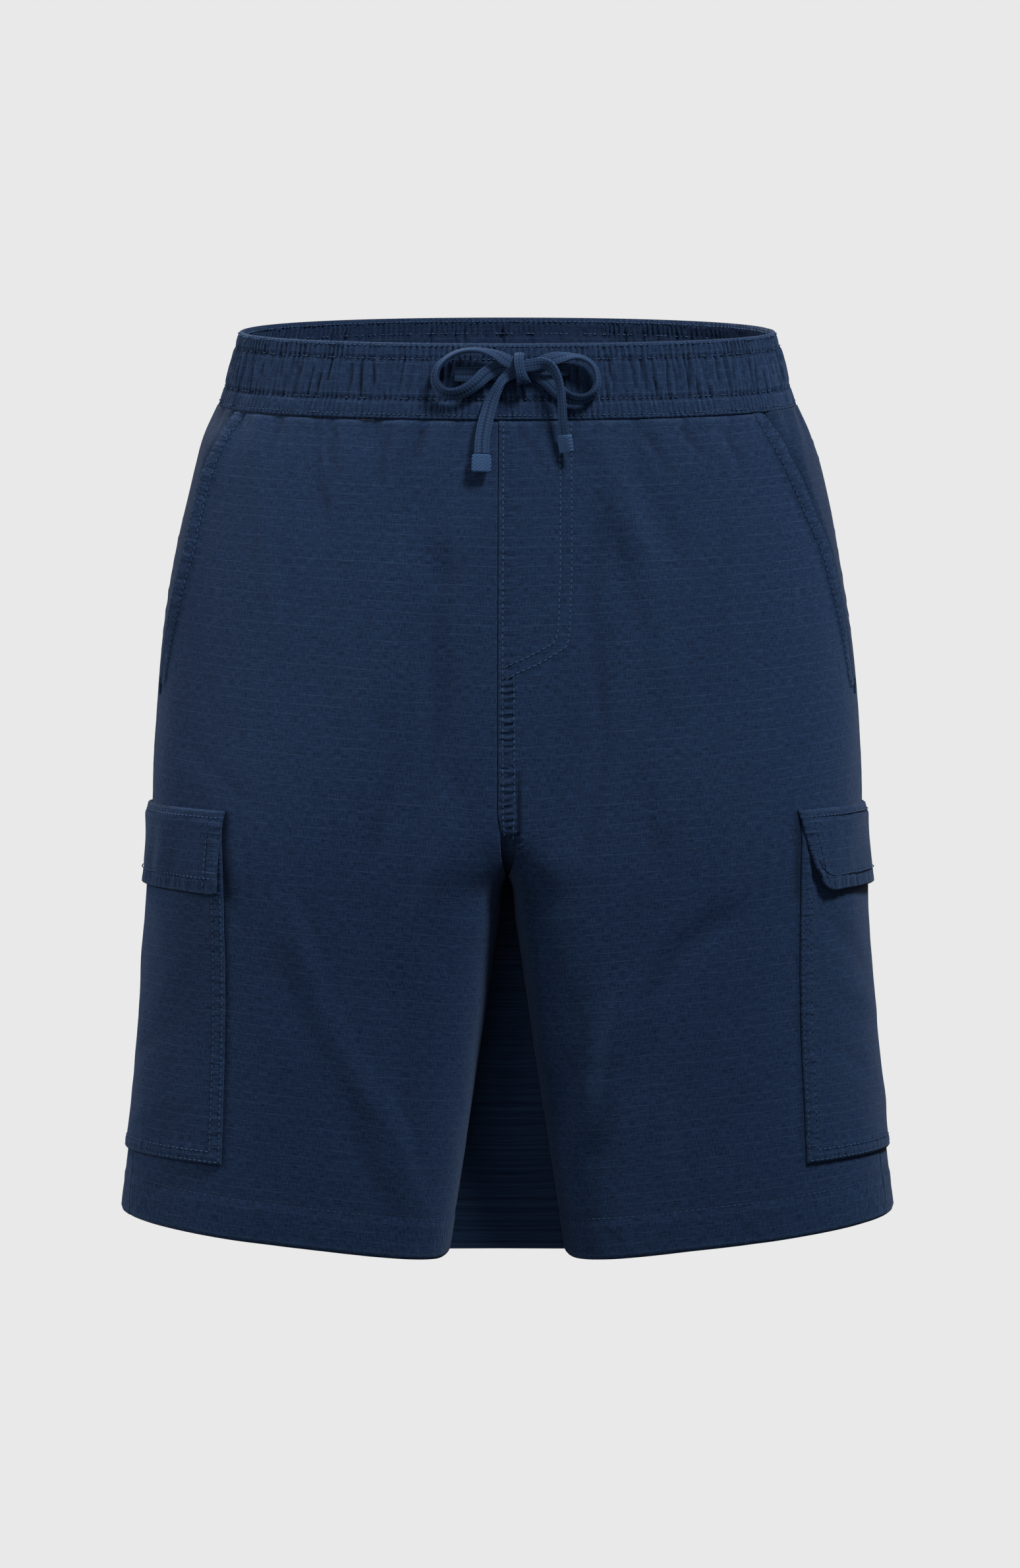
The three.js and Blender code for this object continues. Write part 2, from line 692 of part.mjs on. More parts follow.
// Smooth curve through rows of numbers, each number on its own spline.
function splineRow(rows, share) {
  const x = share * (rows.length - 1);
  const i = Math.min(Math.floor(x), rows.length - 2);
  const f = x - i;
  const at = (k) => rows[clamp(k, 0, rows.length - 1)];
  return rows[0].map((_, c) => {
    const [a, b, d, e] = [at(i - 1)[c], at(i)[c], at(i + 1)[c], at(i + 2)[c]];
    const tangent0 = (d - a) / 2;
    const tangent1 = (e - b) / 2;
    const f2 = f * f;
    const f3 = f2 * f;
    return (2 * f3 - 3 * f2 + 1) * b + (f3 - 2 * f2 + f) * tangent0 + (3 * f2 - 2 * f3) * d + (f3 - f2) * tangent1;
  });
}

// Rows of CORD_COLUMNS numbers turned into centres with half width, half thickness and turn.
function cordCentres(rows, steps) {
  const centres = [];
  for (let i = 0; i <= steps; i++) {
    const [x, off, z, halfWidth, halfThick, turn] = splineRow(rows, i / steps).slice(0, CORD_COLUMNS);
    centres.push({ p: new THREE.Vector3(x, frontFace(x, z) - off, z), halfWidth, halfThick, turn });
  }
  return centres;
}

// A closed tube through rings of points: one ring for each step, its two ends filled flat.
function tube(ringPoints) {
  const shell = new Shell();
  const rings = ringPoints.map((ring) => ring.map((p) => shell.add(p)));
  const sides = CORD_SIDES.length;
  const last = rings.length - 1;
  for (let i = 0; i < last; i++) {
    for (let j = 0; j < sides; j++) {
      const k = (j + 1) % sides;
      shell.quad(rings[i][j], rings[i][k], rings[i + 1][k], rings[i + 1][j]);
    }
  }
  for (let j = 1; j + 1 < sides; j++) {
    shell.faces.push([rings[0][0], rings[0][j + 1], rings[0][j]]);
    shell.faces.push([rings[last][0], rings[last][j], rings[last][j + 1]]);
  }
  return shell.geometry();
}

// Direction of a line of centres at step i.
function tangentAt(points, i) {
  const next = points[Math.min(i + 1, points.length - 1)];
  return next.clone().sub(points[Math.max(i - 1, 0)]).normalize();
}

// Ring of a flat cord: across is its width's direction and up the direction of its thickness.
function cordRing(p, across, up, halfWidth, halfThick) {
  return CORD_SIDES.map(([w, t]) =>
    p.clone().addScaledVector(across, w * halfWidth).addScaledVector(up, t * halfThick),
  );
}

// A flat cord along centres. Its flat side faces the front where the turn is 0.
function flatTube(centres) {
  const points = centres.map((c) => c.p);
  return tube(
    centres.map((c, i) => {
      const tangent = tangentAt(points, i);
      const up = new THREE.Vector3(0, -1, 0);
      up.addScaledVector(tangent, -up.dot(tangent)).normalize();
      up.applyAxisAngle(tangent, c.turn * RAD);
      return cordRing(c.p, tangent.clone().cross(up), up, c.halfWidth, c.halfThick);
    }),
  );
}

// The sewn end of a cord: a thicker, wider block just past the last row.
const TIP_GAP = 0.3;
const TIP_PROFILE = [
  [0, 4.4, 1.5],
  [1, 5.2, 1.9],
  [5, 5.4, 2.0],
  [9, 5.2, 1.9],
  [10, 4.6, 1.5],
];

function cordTip(rows) {
  const centres = cordCentres(rows, CORD_STEPS);
  const end = centres[CORD_STEPS];
  const along = end.p.clone().sub(centres[CORD_STEPS - 1].p).normalize();
  return flatTube(
    TIP_PROFILE.map(([distance, halfWidth, halfThick]) => ({
      p: end.p.clone().addScaledVector(along, distance + TIP_GAP),
      halfWidth,
      halfThick,
      turn: end.turn,
    })),
  );
}

// The bow's knot: a band that wraps over the crossing cords, open towards the waistband.
// Each row: height from the knot's middle and distance off the waistband's face.
const KNOT_X = 8;
const KNOT_Z = -0.4;
const KNOT_HALF_WIDTH = 3.9;
const KNOT_HALF_THICK = 1.1;
const KNOT_PATH = [
  [-6.4, 2.6],
  [-7.4, 5],
  [-7.3, 9],
  [-5.9, 12.2],
  [-2.8, 13.7],
  [1, 13.9],
  [4.8, 13.2],
  [6.9, 10.6],
  [7.4, 6.5],
  [6.7, 2.8],
];
const KNOT_STEPS = 18;

function bowKnot() {
  const face = frontFace(KNOT_X, KNOT_Z);
  const centres = [];
  for (let i = 0; i <= KNOT_STEPS; i++) {
    const [z, off] = splineRow(KNOT_PATH, i / KNOT_STEPS);
    centres.push(new THREE.Vector3(KNOT_X, face - off, KNOT_Z + z));
  }
  const across = new THREE.Vector3(1, 0, 0);
  return tube(
    centres.map((p, i) => {
      const up = tangentAt(centres, i).cross(across);
      return cordRing(p, across, up, KNOT_HALF_WIDTH, KNOT_HALF_THICK);
    }),
  );
}

// Assembly

const NAVY = new THREE.MeshStandardMaterial({ color: 0x1c3050, roughness: 0.9 });
const NAVY_CORD = new THREE.MeshStandardMaterial({ color: 0x34506f, roughness: 0.85 });
const TIP_BLUE = new THREE.MeshStandardMaterial({ color: 0x4b6e9b, roughness: 0.8 });

const shorts = new THREE.Group();

function add(name, geometry, material) {
  const mesh = new THREE.Mesh(geometry, material);
  mesh.name = name;
  shorts.add(mesh);
}

for (const [side, word] of [
  [RIGHT, "right"],
  [LEFT, "left"],
]) {
  add("front_" + word, frontPanel(side), NAVY);
  add("back_" + word, backPanel(side), NAVY);
  add("pocket_facing_" + word, facing(side), NAVY);
  add("cargo_pocket_" + word, cargoPocket(side), NAVY);
  add("pocket_flap_" + word, pocketFlap(side), NAVY);
}
add("waistband", waistband(), NAVY);
add("drawstring_right", flatTube(cordCentres(CORD_RIGHT, CORD_STEPS)), NAVY_CORD);
add("drawstring_left", flatTube(cordCentres(CORD_LEFT, CORD_STEPS)), NAVY_CORD);
add("cord_tip_right", cordTip(CORD_RIGHT), TIP_BLUE);
add("cord_tip_left", cordTip(CORD_LEFT), TIP_BLUE);
add("bow_knot", bowKnot(), NAVY_CORD);

export default shorts;
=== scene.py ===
"""Looks of a pair of cargo shorts, filled out as worn.

The garment's own measures are in millimetres: its front faces -Y, the wearer's left is +X, and levels run down
from the origin. An arc is the length around a leg's section from the front midline. Meshes are made in metres.
"""
import math

import bmesh
import bpy
import numpy as np
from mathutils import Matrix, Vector


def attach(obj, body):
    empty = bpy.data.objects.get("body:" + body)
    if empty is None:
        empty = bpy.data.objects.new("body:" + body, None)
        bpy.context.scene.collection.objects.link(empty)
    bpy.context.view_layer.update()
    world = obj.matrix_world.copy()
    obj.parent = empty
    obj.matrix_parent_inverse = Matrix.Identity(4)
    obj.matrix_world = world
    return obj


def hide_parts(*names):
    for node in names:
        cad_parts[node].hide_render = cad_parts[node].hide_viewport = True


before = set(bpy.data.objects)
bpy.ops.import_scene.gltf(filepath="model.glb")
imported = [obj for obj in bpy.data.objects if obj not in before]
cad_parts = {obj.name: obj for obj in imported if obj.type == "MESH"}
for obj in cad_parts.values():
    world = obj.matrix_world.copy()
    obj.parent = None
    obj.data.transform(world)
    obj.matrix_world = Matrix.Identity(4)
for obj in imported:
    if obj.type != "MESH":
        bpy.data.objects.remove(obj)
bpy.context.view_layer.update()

MM = 0.001
LEFT = 1
RIGHT = -1
SIDES = ((RIGHT, "right"), (LEFT, "left"))

# Camera: the photo's frame, seen from far in front and a little above
PHOTO_HEIGHT = 2380
MM_PER_PIXEL = 0.37
CAMERA_DISTANCE = 4000.0
CAMERA_TILT = 4.5
CAMERA_LOOK = (1.5, 0.0, -235.7)
SENSOR = 36.0


def make_camera():
    data = bpy.data.cameras.new("camera")
    data.sensor_fit = "AUTO"
    data.sensor_width = SENSOR
    data.lens = SENSOR * CAMERA_DISTANCE / (MM_PER_PIXEL * PHOTO_HEIGHT)
    data.dof.use_dof = False
    data.clip_end = 50
    camera = bpy.data.objects.new("camera", data)
    tilt = math.radians(CAMERA_TILT)
    look = Vector(CAMERA_LOOK) * MM
    camera.location = look + Vector((0, -math.cos(tilt), math.sin(tilt))) * CAMERA_DISTANCE * MM
    camera.rotation_euler = (math.radians(90) - tilt, 0, 0)
    bpy.context.scene.collection.objects.link(camera)
    bpy.context.scene.camera = camera


make_camera()

# Body of the garment: one row for each level, as in the pattern of the solids
WAIST_TOP = -18.8
WAIST_SEAM = 23.3
CROTCH = 275
HEM = 485.4
LEGS_APART = 236
SEAM_LAP = 0.03
CLOTH = 1.2
SECTION_COLUMNS = ("z", "outer", "inner", "front", "back", "power", "corner", "roll", "pitch", "side")
SECTIONS = (
    (20.5, 149.0, -149.0, 100, 104, 2.15, 2.15, 0.0, 3.2, 94),
    (-22.5, 161.0, -161.0, 106, 110, 2.15, 2.15, 0.2, 2.9, 93),
    (-42, 169.3, -167, 110, 117, 2.2, 2.2, 0.9, 2.6, 92),
    (-80, 179.2, -168, 114, 125, 2.25, 2.3, 1.7, 2.1, 90),
    (-130, 188.8, -154, 117, 130, 2.3, 2.6, 2.6, 1.6, 87),
    (-180, 195.2, -116, 118, 131, 2.3, 3.6, 3.4, 1.2, 84),
    (-205, 197.3, -83, 117.6, 130.5, 2.3, 5, 3.8, 1.1, 82.7),
    (-230, 198.7, -45, 116.7, 129, 2.3, 6.6, 4.15, 0.95, 81.5),
    (-250, 199.2, -19, 115.5, 126.5, 2.25, 7, 4.4, 0.8, 80.5),
    (-264, 199.5, -6, 114.4, 124.2, 2.22, 6.6, 4.6, 0.7, 79.7),
    (-275, 199.8, 0.4, 113.3, 122, 2.2, 5.6, 4.8, 0.6, 79),
    (-300, 201.0, 4.2, 110, 117, 2.15, 4.9, 5.1, 0.4, 78),
    (-350, 204.3, 11.3, 103, 107, 2.1, 4.4, 5.6, 0.2, 76),
    (-420, 210.6, 21.8, 94, 95.5, 2.1, 4.1, 6.3, 0.0, 73),
    (-487, 218.3, 32, 86, 86, 2.1, 4, 6.8, 0.0, 69),
)
INSEAM_FORWARD = 10
INSEAM_FADE = 100
ROWS = np.array(SECTIONS, float)
DEPTHS = -ROWS[:, 0]


def smooth(value):
    s = np.clip(value, 0, 1)
    return s * s * (3 - 2 * s)


def mix(a, b, s):
    return a + (b - a) * s


def bell(away, width):
    return np.exp(-0.5 * (away / width) ** 2)


def hump(away, width, power=2):
    """1 at the middle and near 0 past the width. A power of 4 or 6 makes it flat on top."""
    return np.exp(-((away / width) ** power))


def window(value, first, rise, last, fall):
    """1 between two places and 0 outside them, with soft ends inside of the given lengths."""
    return smooth((value - first) / rise) * smooth((last - value) / fall)


def unit(vectors):
    return vectors / np.linalg.norm(vectors, axis=-1, keepdims=True)


def arcs_along(points):
    """Length along a line, up to each of its points."""
    return np.concatenate([[0], np.cumsum(np.linalg.norm(np.diff(points, axis=0), axis=1))])


def signed_power(value, power):
    return np.sign(value) * np.abs(value) ** power


def column(name, level):
    """Value of a section column at a level, on a smooth curve through the table."""
    values = ROWS[:, SECTION_COLUMNS.index(name)]
    gaps = np.diff(DEPTHS)
    steps = np.diff(values) / gaps
    slopes = np.empty(len(values))
    slopes[0], slopes[-1] = steps[0], steps[-1]
    slopes[1:-1] = (steps[:-1] * gaps[1:] + steps[1:] * gaps[:-1]) / (gaps[1:] + gaps[:-1])
    k = np.clip(np.searchsorted(DEPTHS, level) - 1, 0, len(gaps) - 1)
    s = np.clip((level - DEPTHS[k]) / gaps[k], 0, 1)
    start = (2 * s**3 - 3 * s**2 + 1) * values[k] + (s**3 - 2 * s**2 + s) * gaps[k] * slopes[k]
    end = (3 * s**2 - 2 * s**3) * values[k + 1] + (s**3 - s**2) * gaps[k] * slopes[k + 1]
    return start + end


def shape_at(level):
    """Numbers of the half loops of the wearer's left side at some levels."""
    level = np.asarray(level, float)
    s = {name: column(name, level) for name in SECTION_COLUMNS[1:]}
    s["level"] = level
    s["roll"] = np.radians(s["roll"])
    s["pitch"] = np.radians(s["pitch"])
    s["centre"] = (s["outer"] + s["inner"]) / 2
    s["half"] = (s["outer"] - s["inner"]) / 2
    reach = np.maximum(0, s["centre"] / np.cos(s["roll"]) / s["half"])
    joined = (s["inner"] < 0) & (reach < 1)
    reach = np.minimum(reach, 1)
    forward = math.radians(INSEAM_FORWARD) * np.clip((level - CROTCH) / INSEAM_FADE, 0, 1)
    depth = np.sin(forward) ** (2 / s["power"])
    ahead = np.arctan2(depth, (1 - depth ** s["corner"]) ** (1 / s["corner"]))
    cut = np.arctan2((1 - reach ** s["corner"]) ** (1 / s["corner"]), reach)
    s["start"] = np.where(joined, cut, ahead) - math.pi
    s["end"] = math.pi + np.where(joined, -np.arccos(reach ** (s["power"] / 2)), ahead)
    return s


def on_loop(s, angle):
    """Point of a section at an angle: -90 degrees is straight ahead and 0 is the outer side."""
    c, n = np.cos(angle), np.sin(angle)
    p, corner = s["power"], s["corner"]
    square = (np.abs(c) ** corner + np.abs(n) ** corner) ** (-1 / corner)
    inner = (n < 0) & (c < 0)
    across = s["half"] * np.where(inner, square * c, signed_power(c, 2 / p))
    depth = np.where(inner, square * n, signed_power(n, 2 / p)) * np.where(n < 0, s["front"], s["back"])
    x = s["centre"] + across * np.cos(s["roll"])
    z = across * np.sin(s["roll"]) + depth * np.sin(s["pitch"]) - s["level"]
    return np.stack([x, depth * np.cos(s["pitch"]), z], -1)


def spread(first, last, step, crowd=0.55):
    """Positions from first to last, closer together towards both ends."""
    count = max(4, int(math.ceil(abs(last - first) / step)))
    x = np.linspace(0, 1, count + 1)
    return mix(first, last, mix(x, 0.5 - 0.5 * np.cos(math.pi * x), crowd))


# Steps between the panels' rows and columns, and the levels where the centre seam is rippled
FRONT_STEP = 2.15
BACK_STEP = 3.2
RIPPLED = (158, 242)
CLOSE_ROWS = (269.2, 270.4, 271.6, 272.6, 273.4, 274.1, 274.6, 275.0, 275.6, 276.6)
ROWS_CROTCH = np.concatenate([np.arange(243, 269, 1.2), CLOSE_ROWS])


def panel_rows(step, ripple_step):
    """Levels of a panel's rows. The second step is theirs where the centre seam is rippled."""
    above = spread(WAIST_SEAM - SEAM_LAP, RIPPLED[0], step, 0.3)
    rippled = np.linspace(*RIPPLED, int((RIPPLED[1] - RIPPLED[0]) / ripple_step))
    below = spread(278, HEM, step, 0.3)
    return np.concatenate([above, rippled[1:], ROWS_CROTCH, below])


PANEL_ROWS = {
    "front_right": panel_rows(FRONT_STEP, FRONT_STEP),
    "front_left": panel_rows(FRONT_STEP, 1.0),
    "back": panel_rows(BACK_STEP, BACK_STEP),
}
ARC_STEPS = 360
NEAR_MIDLINE = 40
TABLE_LEVELS = np.unique(np.concatenate([np.arange(WAIST_TOP, HEM + 1.5, 1.0), *PANEL_ROWS.values()]))
TABLE_SHARES = np.linspace(0, 1, ARC_STEPS + 1)
FINE_SHARES = np.linspace(0, 1, 8 * ARC_STEPS + 1)


def arc_tables():
    """For each table level: the loop's length, the arc to its side seam, and the angle share by arc."""
    s = shape_at(TABLE_LEVELS[:, None])
    points = on_loop(s, mix(s["start"], s["end"], FINE_SHARES[None, :]))
    lengths = np.linalg.norm(np.diff(points, axis=1), axis=2)
    arcs = np.concatenate([np.zeros((len(lengths), 1)), np.cumsum(lengths, axis=1)], axis=1)
    total = arcs[:, -1]
    side_share = ((np.radians(s["side"] - 90) - s["start"]) / (s["end"] - s["start"]))[:, 0]
    side = np.array([np.interp(q, FINE_SHARES, a) for q, a in zip(side_share, arcs)])
    inverse = np.array([np.interp(TABLE_SHARES, a / a[-1], FINE_SHARES) for a in arcs])
    return total, side, inverse, s["start"][:, 0], s["end"][:, 0]


TOTALS, SIDE_ARCS, INVERSE, STARTS, ENDS = arc_tables()


def total_arc(level):
    return np.interp(level, TABLE_LEVELS, TOTALS)


def side_arc(level):
    return np.interp(level, TABLE_LEVELS, SIDE_ARCS)


def row_share(k, share):
    """Angle share that belongs to an arc share, from one row of the table."""
    place = np.clip(share, 0, 1) * ARC_STEPS
    j = np.minimum(place.astype(int), ARC_STEPS - 1)
    return mix(INVERSE[k, j], INVERSE[k, j + 1], place - j)


def angle_at(s, level, arc):
    """Angle of an arc: by its share of the loop near the midline, else by its distance from the side seam."""
    i = np.clip(np.searchsorted(TABLE_LEVELS, level, side="right") - 1, 0, len(TABLE_LEVELS) - 2)
    f = (level - TABLE_LEVELS[i]) / (TABLE_LEVELS[i + 1] - TABLE_LEVELS[i])
    total = total_arc(level)
    near = mix(s["start"], s["end"], mix(row_share(i, arc / total), row_share(i + 1, arc / total), f))
    behind = arc - side_arc(level)
    shares = [row_share(k, (behind + SIDE_ARCS[k]) / TOTALS[k]) for k in (i, i + 1)]
    upper, lower = (mix(STARTS[k], ENDS[k], share) for k, share in zip((i, i + 1), shares))
    to_midline = np.minimum(arc, total - arc)
    return mix(near, mix(upper, lower, f), smooth(to_midline / NEAR_MIDLINE - 1))


# Steps in angle and level that a normal is taken from
NORMAL_TURN = 0.004
NORMAL_STEP = 0.5


def base(level, arc):
    """Points and outward normals of the wearer's left half, at arcs from the front midline."""
    level, arc = np.broadcast_arrays(np.asarray(level, float), np.asarray(arc, float))
    s = shape_at(level)
    angle = angle_at(s, level, arc)
    along = on_loop(s, angle + NORMAL_TURN) - on_loop(s, angle - NORMAL_TURN)
    lower = on_loop(shape_at(np.minimum(level + NORMAL_STEP, HEM)), angle)
    upper = on_loop(shape_at(np.maximum(level - NORMAL_STEP, WAIST_TOP)), angle)
    return on_loop(s, angle), unit(-np.cross(along, lower - upper))


# Folds by leg: the line's ends as distance behind the side seam and level, then half width and height
FOLDS = {
    RIGHT: (
        (-178, 46, -194, 92, 7, -1.6), (-194, 92, -207, 115, 7, -2.0), (-206, 108, -211, 190, 7, -3.4),
        (-211, 190, -218, 232, 7, -2.0), (-220, 70, -228, 225, 9, 1.9), (-182, 100, -180, 185, 10, 1.3),
        (-111, 26, -134, 95, 6, -1.2), (-140, 22, -162, 42, 5, -1.5), (-118, 302, -139, 358, 6, 1.5),
        (-139, 358, -164, 405, 6, 1.6), (-157, 384, -182, 460, 5, 1.3), (-181, 326, -179, 410, 8, -1.5),
        (-116, 330, -133, 376, 7, -0.8), (104, 70, 131, 185, 9, -1.9), (168, 95, 150, 210, 9, 1.7),
        (150, 300, 118, 412, 9, -1.6), (186, 330, 172, 440, 9, 1.5),
    ),
    LEFT: (
        (-184, 78, -171, 146, 6, -1.6), (-199, 76, -194, 122, 6, 1.2), (-190, 92, -191, 165, 7, -2.2),
        (-191, 165, -204, 212, 8, -2.3), (-204, 212, -217, 258, 8, -1.8), (-178, 40, -172, 92, 8, 2.6),
        (-168, 84, -158, 132, 7, 2.2), (-164, 124, -158, 176, 8, 2.0), (-165, 55, -151, 102, 7, -1.8),
        (-119, 299, -146, 317, 6, -1.6), (-146, 317, -162, 346, 6, -1.6), (-162, 346, -168, 402, 6, -1.3),
        (-167, 337, -186, 388, 9, 1.6), (-186, 388, -190, 417, 9, 1.6), (-214, 375, -212, 412, 9, -2.2),
        (96, 60, 122, 172, 9, 1.8), (172, 120, 148, 228, 9, -1.9), (138, 292, 112, 395, 9, 1.6),
        (190, 300, 168, 372, 9, -1.6),
    ),
}
FOLD_GAIN = 1.25
FOLD_END = 40
FOLD_SHARE = 0.8
FOLD_FREE = 30

# Finer creases, with the same columns
CREASES = {
    RIGHT: (
        (-203, 130, -207, 205, 4.5, -1.5), (-213, 125, -216, 205, 5.0, 0.9),
        (-207, 205, -196, 240, 5.0, -0.8), (-120, 30, -140, 80, 3.4, -1.3), (-178, 28, -183, 46, 2.8, -1.1),
        (-160, 28, -168, 60, 2.8, -1.3), (-128, 28, -140, 58, 2.8, -1.1), (-92, 28, -97, 50, 2.8, -0.9),
        (-98, 70, -118, 150, 5.0, 0.9), (-150, 120, -168, 205, 6.0, 0.8), (-188, 215, -170, 262, 6.0, -0.8),
        (-60, 215, -105, 240, 4.5, -0.6), (-206, 262, -186, 300, 5.0, 0.8), (-150, 412, -170, 462, 5.0, -0.7),
        (-128, 296, -136, 330, 4.0, 0.9), (-172, 395, -190, 452, 3.6, 1.3),
    ),
    LEFT: (
        (-190, 80, -196, 130, 5.0, -1.5), (-196, 130, -190, 200, 5.0, -1.4),
        (-190, 200, -203, 255, 5.0, -1.0), (-176, 52, -166, 115, 6.0, 1.3), (-166, 115, -154, 172, 6.0, 1.0),
        (-199, 24, -204, 46, 3.2, -1.2), (-216, 28, -214, 52, 2.8, -1.0), (-150, 28, -147, 54, 2.8, -1.1),
        (-128, 28, -123, 46, 2.8, -1.0), (-104, 28, -100, 58, 2.8, -1.1), (-100, 80, -122, 170, 6.0, 0.8),
        (-176, 215, -160, 268, 6.0, -0.8), (-60, 205, -110, 232, 4.5, -0.6), (-186, 350, -191, 412, 4.0, 1.1),
        (-150, 400, -140, 458, 5.0, 0.6), (-206, 330, -200, 372, 6.0, -1.0),
    ),
}


def ridge(rows, side, behind, level):
    """Height of all ridges and troughs of a table on one leg. Each dies out over a share of its length."""
    height = np.zeros(np.broadcast(behind, level).shape)
    for u0, t0, u1, t1, width, rise in rows[side]:
        du, dt = u1 - u0, t1 - t0
        length = math.hypot(du, dt)
        ending = min(FOLD_END, max(8, FOLD_SHARE * length))
        along = ((behind - u0) * du + (level - t0) * dt) / length
        away = ((behind - u0) * dt - (level - t0) * du) / length
        ends = smooth(along / ending + 0.5) * smooth((length - along) / ending + 0.5)
        height += rise * ends * bell(away, width)
    return height


GATHER_PITCH = 27
GATHER_HEIGHT = 0.8
GATHER_DROP = 26


def gathers(side, arc, level):
    """Gathers under the waistband, uneven along the seam and gone a few centimetres lower."""
    drop = (level - WAIST_SEAM) / GATHER_DROP
    phase = 2 * math.pi * arc / GATHER_PITCH + 1.1 * np.sin(arc / 31 + side) + 0.7 * side
    fine = 0.35 * np.sin(2.9 * phase + np.sin(arc / 13)) * np.exp(-((2.2 * drop) ** 2))
    return GATHER_HEIGHT * (np.sin(phase) * np.exp(-drop * drop) + fine) * (drop >= 0)


RUMPLE_CELLS = 64


def rumple(seed, x, y=None):
    """Smooth random height, from -1 to 1, that changes over one unit of x and y."""
    count = RUMPLE_CELLS
    grid = np.random.default_rng(seed).uniform(-1, 1, (count, count))
    y = 0 * x if y is None else y
    i, j = np.floor(x).astype(int), np.floor(y).astype(int)
    f, g = smooth(x - i), smooth(y - j)
    top = mix(grid[i % count, j % count], grid[(i + 1) % count, j % count], f)
    low = mix(grid[i % count, (j + 1) % count], grid[(i + 1) % count, (j + 1) % count], f)
    return mix(top, low, g)


def soft_cloth(side, behind, level):
    """Gentle unevenness of washed cloth: long and shallow, with a little fine crumple."""
    wide = 0.45 * rumple(11 + side, behind / 34, level / 62)
    lean = 0.3 * rumple(21 + side, (behind + 0.35 * level) / 19, (level - 0.35 * behind) / 41)
    fine = 0.1 * rumple(31 + side, behind / 7.5, level / 9.5)
    return wide + lean + fine


def pucker(seed, along, away, pitch, reach, height):
    """Small ripples across a line of sewing, on both sides of it."""
    wave = np.sin(2 * math.pi * along / pitch + 2.2 * rumple(seed, along / 23))
    uneven = 0.6 + 0.4 * rumple(seed + 1, along / 17)
    return height * wave * uneven * bell(away, reach)


def groove(away, width=0.9, depth=0.35):
    """The line that a row of stitches pulls in."""
    return -depth * bell(away, width)


def rolled(inside, radius=0.8):
    """How far a cloth edge rounds down, by distance inside it."""
    x = np.clip(1 - inside / radius, 0, 1)
    return -radius * (1 - np.sqrt(np.maximum(0, 1 - x * x)))


def place(side, level, arc, off=0.0, detail=None):
    """Points of the garment: level, arc from the front midline, and distance outside the cloth's face."""
    level, arc = np.broadcast_arrays(np.asarray(level, float), np.asarray(arc, float))
    reach = np.abs(arc)
    point, normal = base(level, np.minimum(reach, total_arc(level)))
    behind = reach - side_arc(level)
    to_inseam = np.minimum(reach, total_arc(level) - reach)
    free = smooth(np.minimum(to_inseam, point[..., 0] + np.maximum(0, level - CROTCH)) / FOLD_FREE)
    rise = FOLD_GAIN * ridge(FOLDS, side, behind, level) + gathers(side, reach, level)
    rise = rise + ridge(CREASES, side, behind, level) + soft_cloth(side, behind, level)
    lift = off + free * rise
    if detail is not None:
        lift = lift + detail(level, arc)
    point = point + normal * lift[..., None]
    least = np.where(level > LEGS_APART, -SEAM_LAP, -np.inf)
    real = np.where(arc < 0, -side, side)
    point[..., 0] = real * np.maximum(point[..., 0], least)
    return point


# Meshes

def cavity(lift, reach=2, joined=False):
    """Crests over and hollows under the mean height around them, in millimetres."""
    mean = lift.astype(float)
    for axis in (0, 1):
        wrap = "wrap" if joined and axis else "edge"
        pads = [(reach, reach) if axis == k else (0, 0) for k in (0, 1)]
        padded = np.pad(mean, pads, mode=wrap)
        total = np.cumsum(np.insert(padded, 0, 0, axis), axis)
        size = 2 * reach + 1
        mean = (np.take(total, range(size, total.shape[axis]), axis)
                - np.take(total, range(total.shape[axis] - size), axis)) / size
    return lift - mean


def shade(lift, crest=0.5, hollow=1.1, reach=2, joined=False):
    """Lighter, worn crests and painted shade in the hollows, from a relief in millimetres."""
    high = cavity(lift, reach, joined)
    return np.clip(np.where(high > 0, crest, hollow) * high, *WEAR_AND_SHADE_RANGE)


def grid_quads(rows, columns, start, joined):
    i, j = np.meshgrid(np.arange(rows - 1), np.arange(columns if joined else columns - 1), indexing="ij")
    k = (j + 1) % columns
    corners = [i * columns + j, i * columns + k, (i + 1) * columns + k, (i + 1) * columns + j]
    return start + np.stack(corners, -1).reshape(-1, 4)


def rim_quads(outer, inner, joined):
    if joined:
        outer, inner = np.append(outer, outer[0]), np.append(inner, inner[0])
    return np.stack([outer[1:], outer[:-1], inner[:-1], inner[1:]], -1)


SHARP_ANGLE = 60
# Range of the colour marks: above 0 lighter, worn cloth; below 0 painted shade in hollows, gaps and recesses.
WEAR_AND_SHADE_RANGE = (-0.75, 0.6)


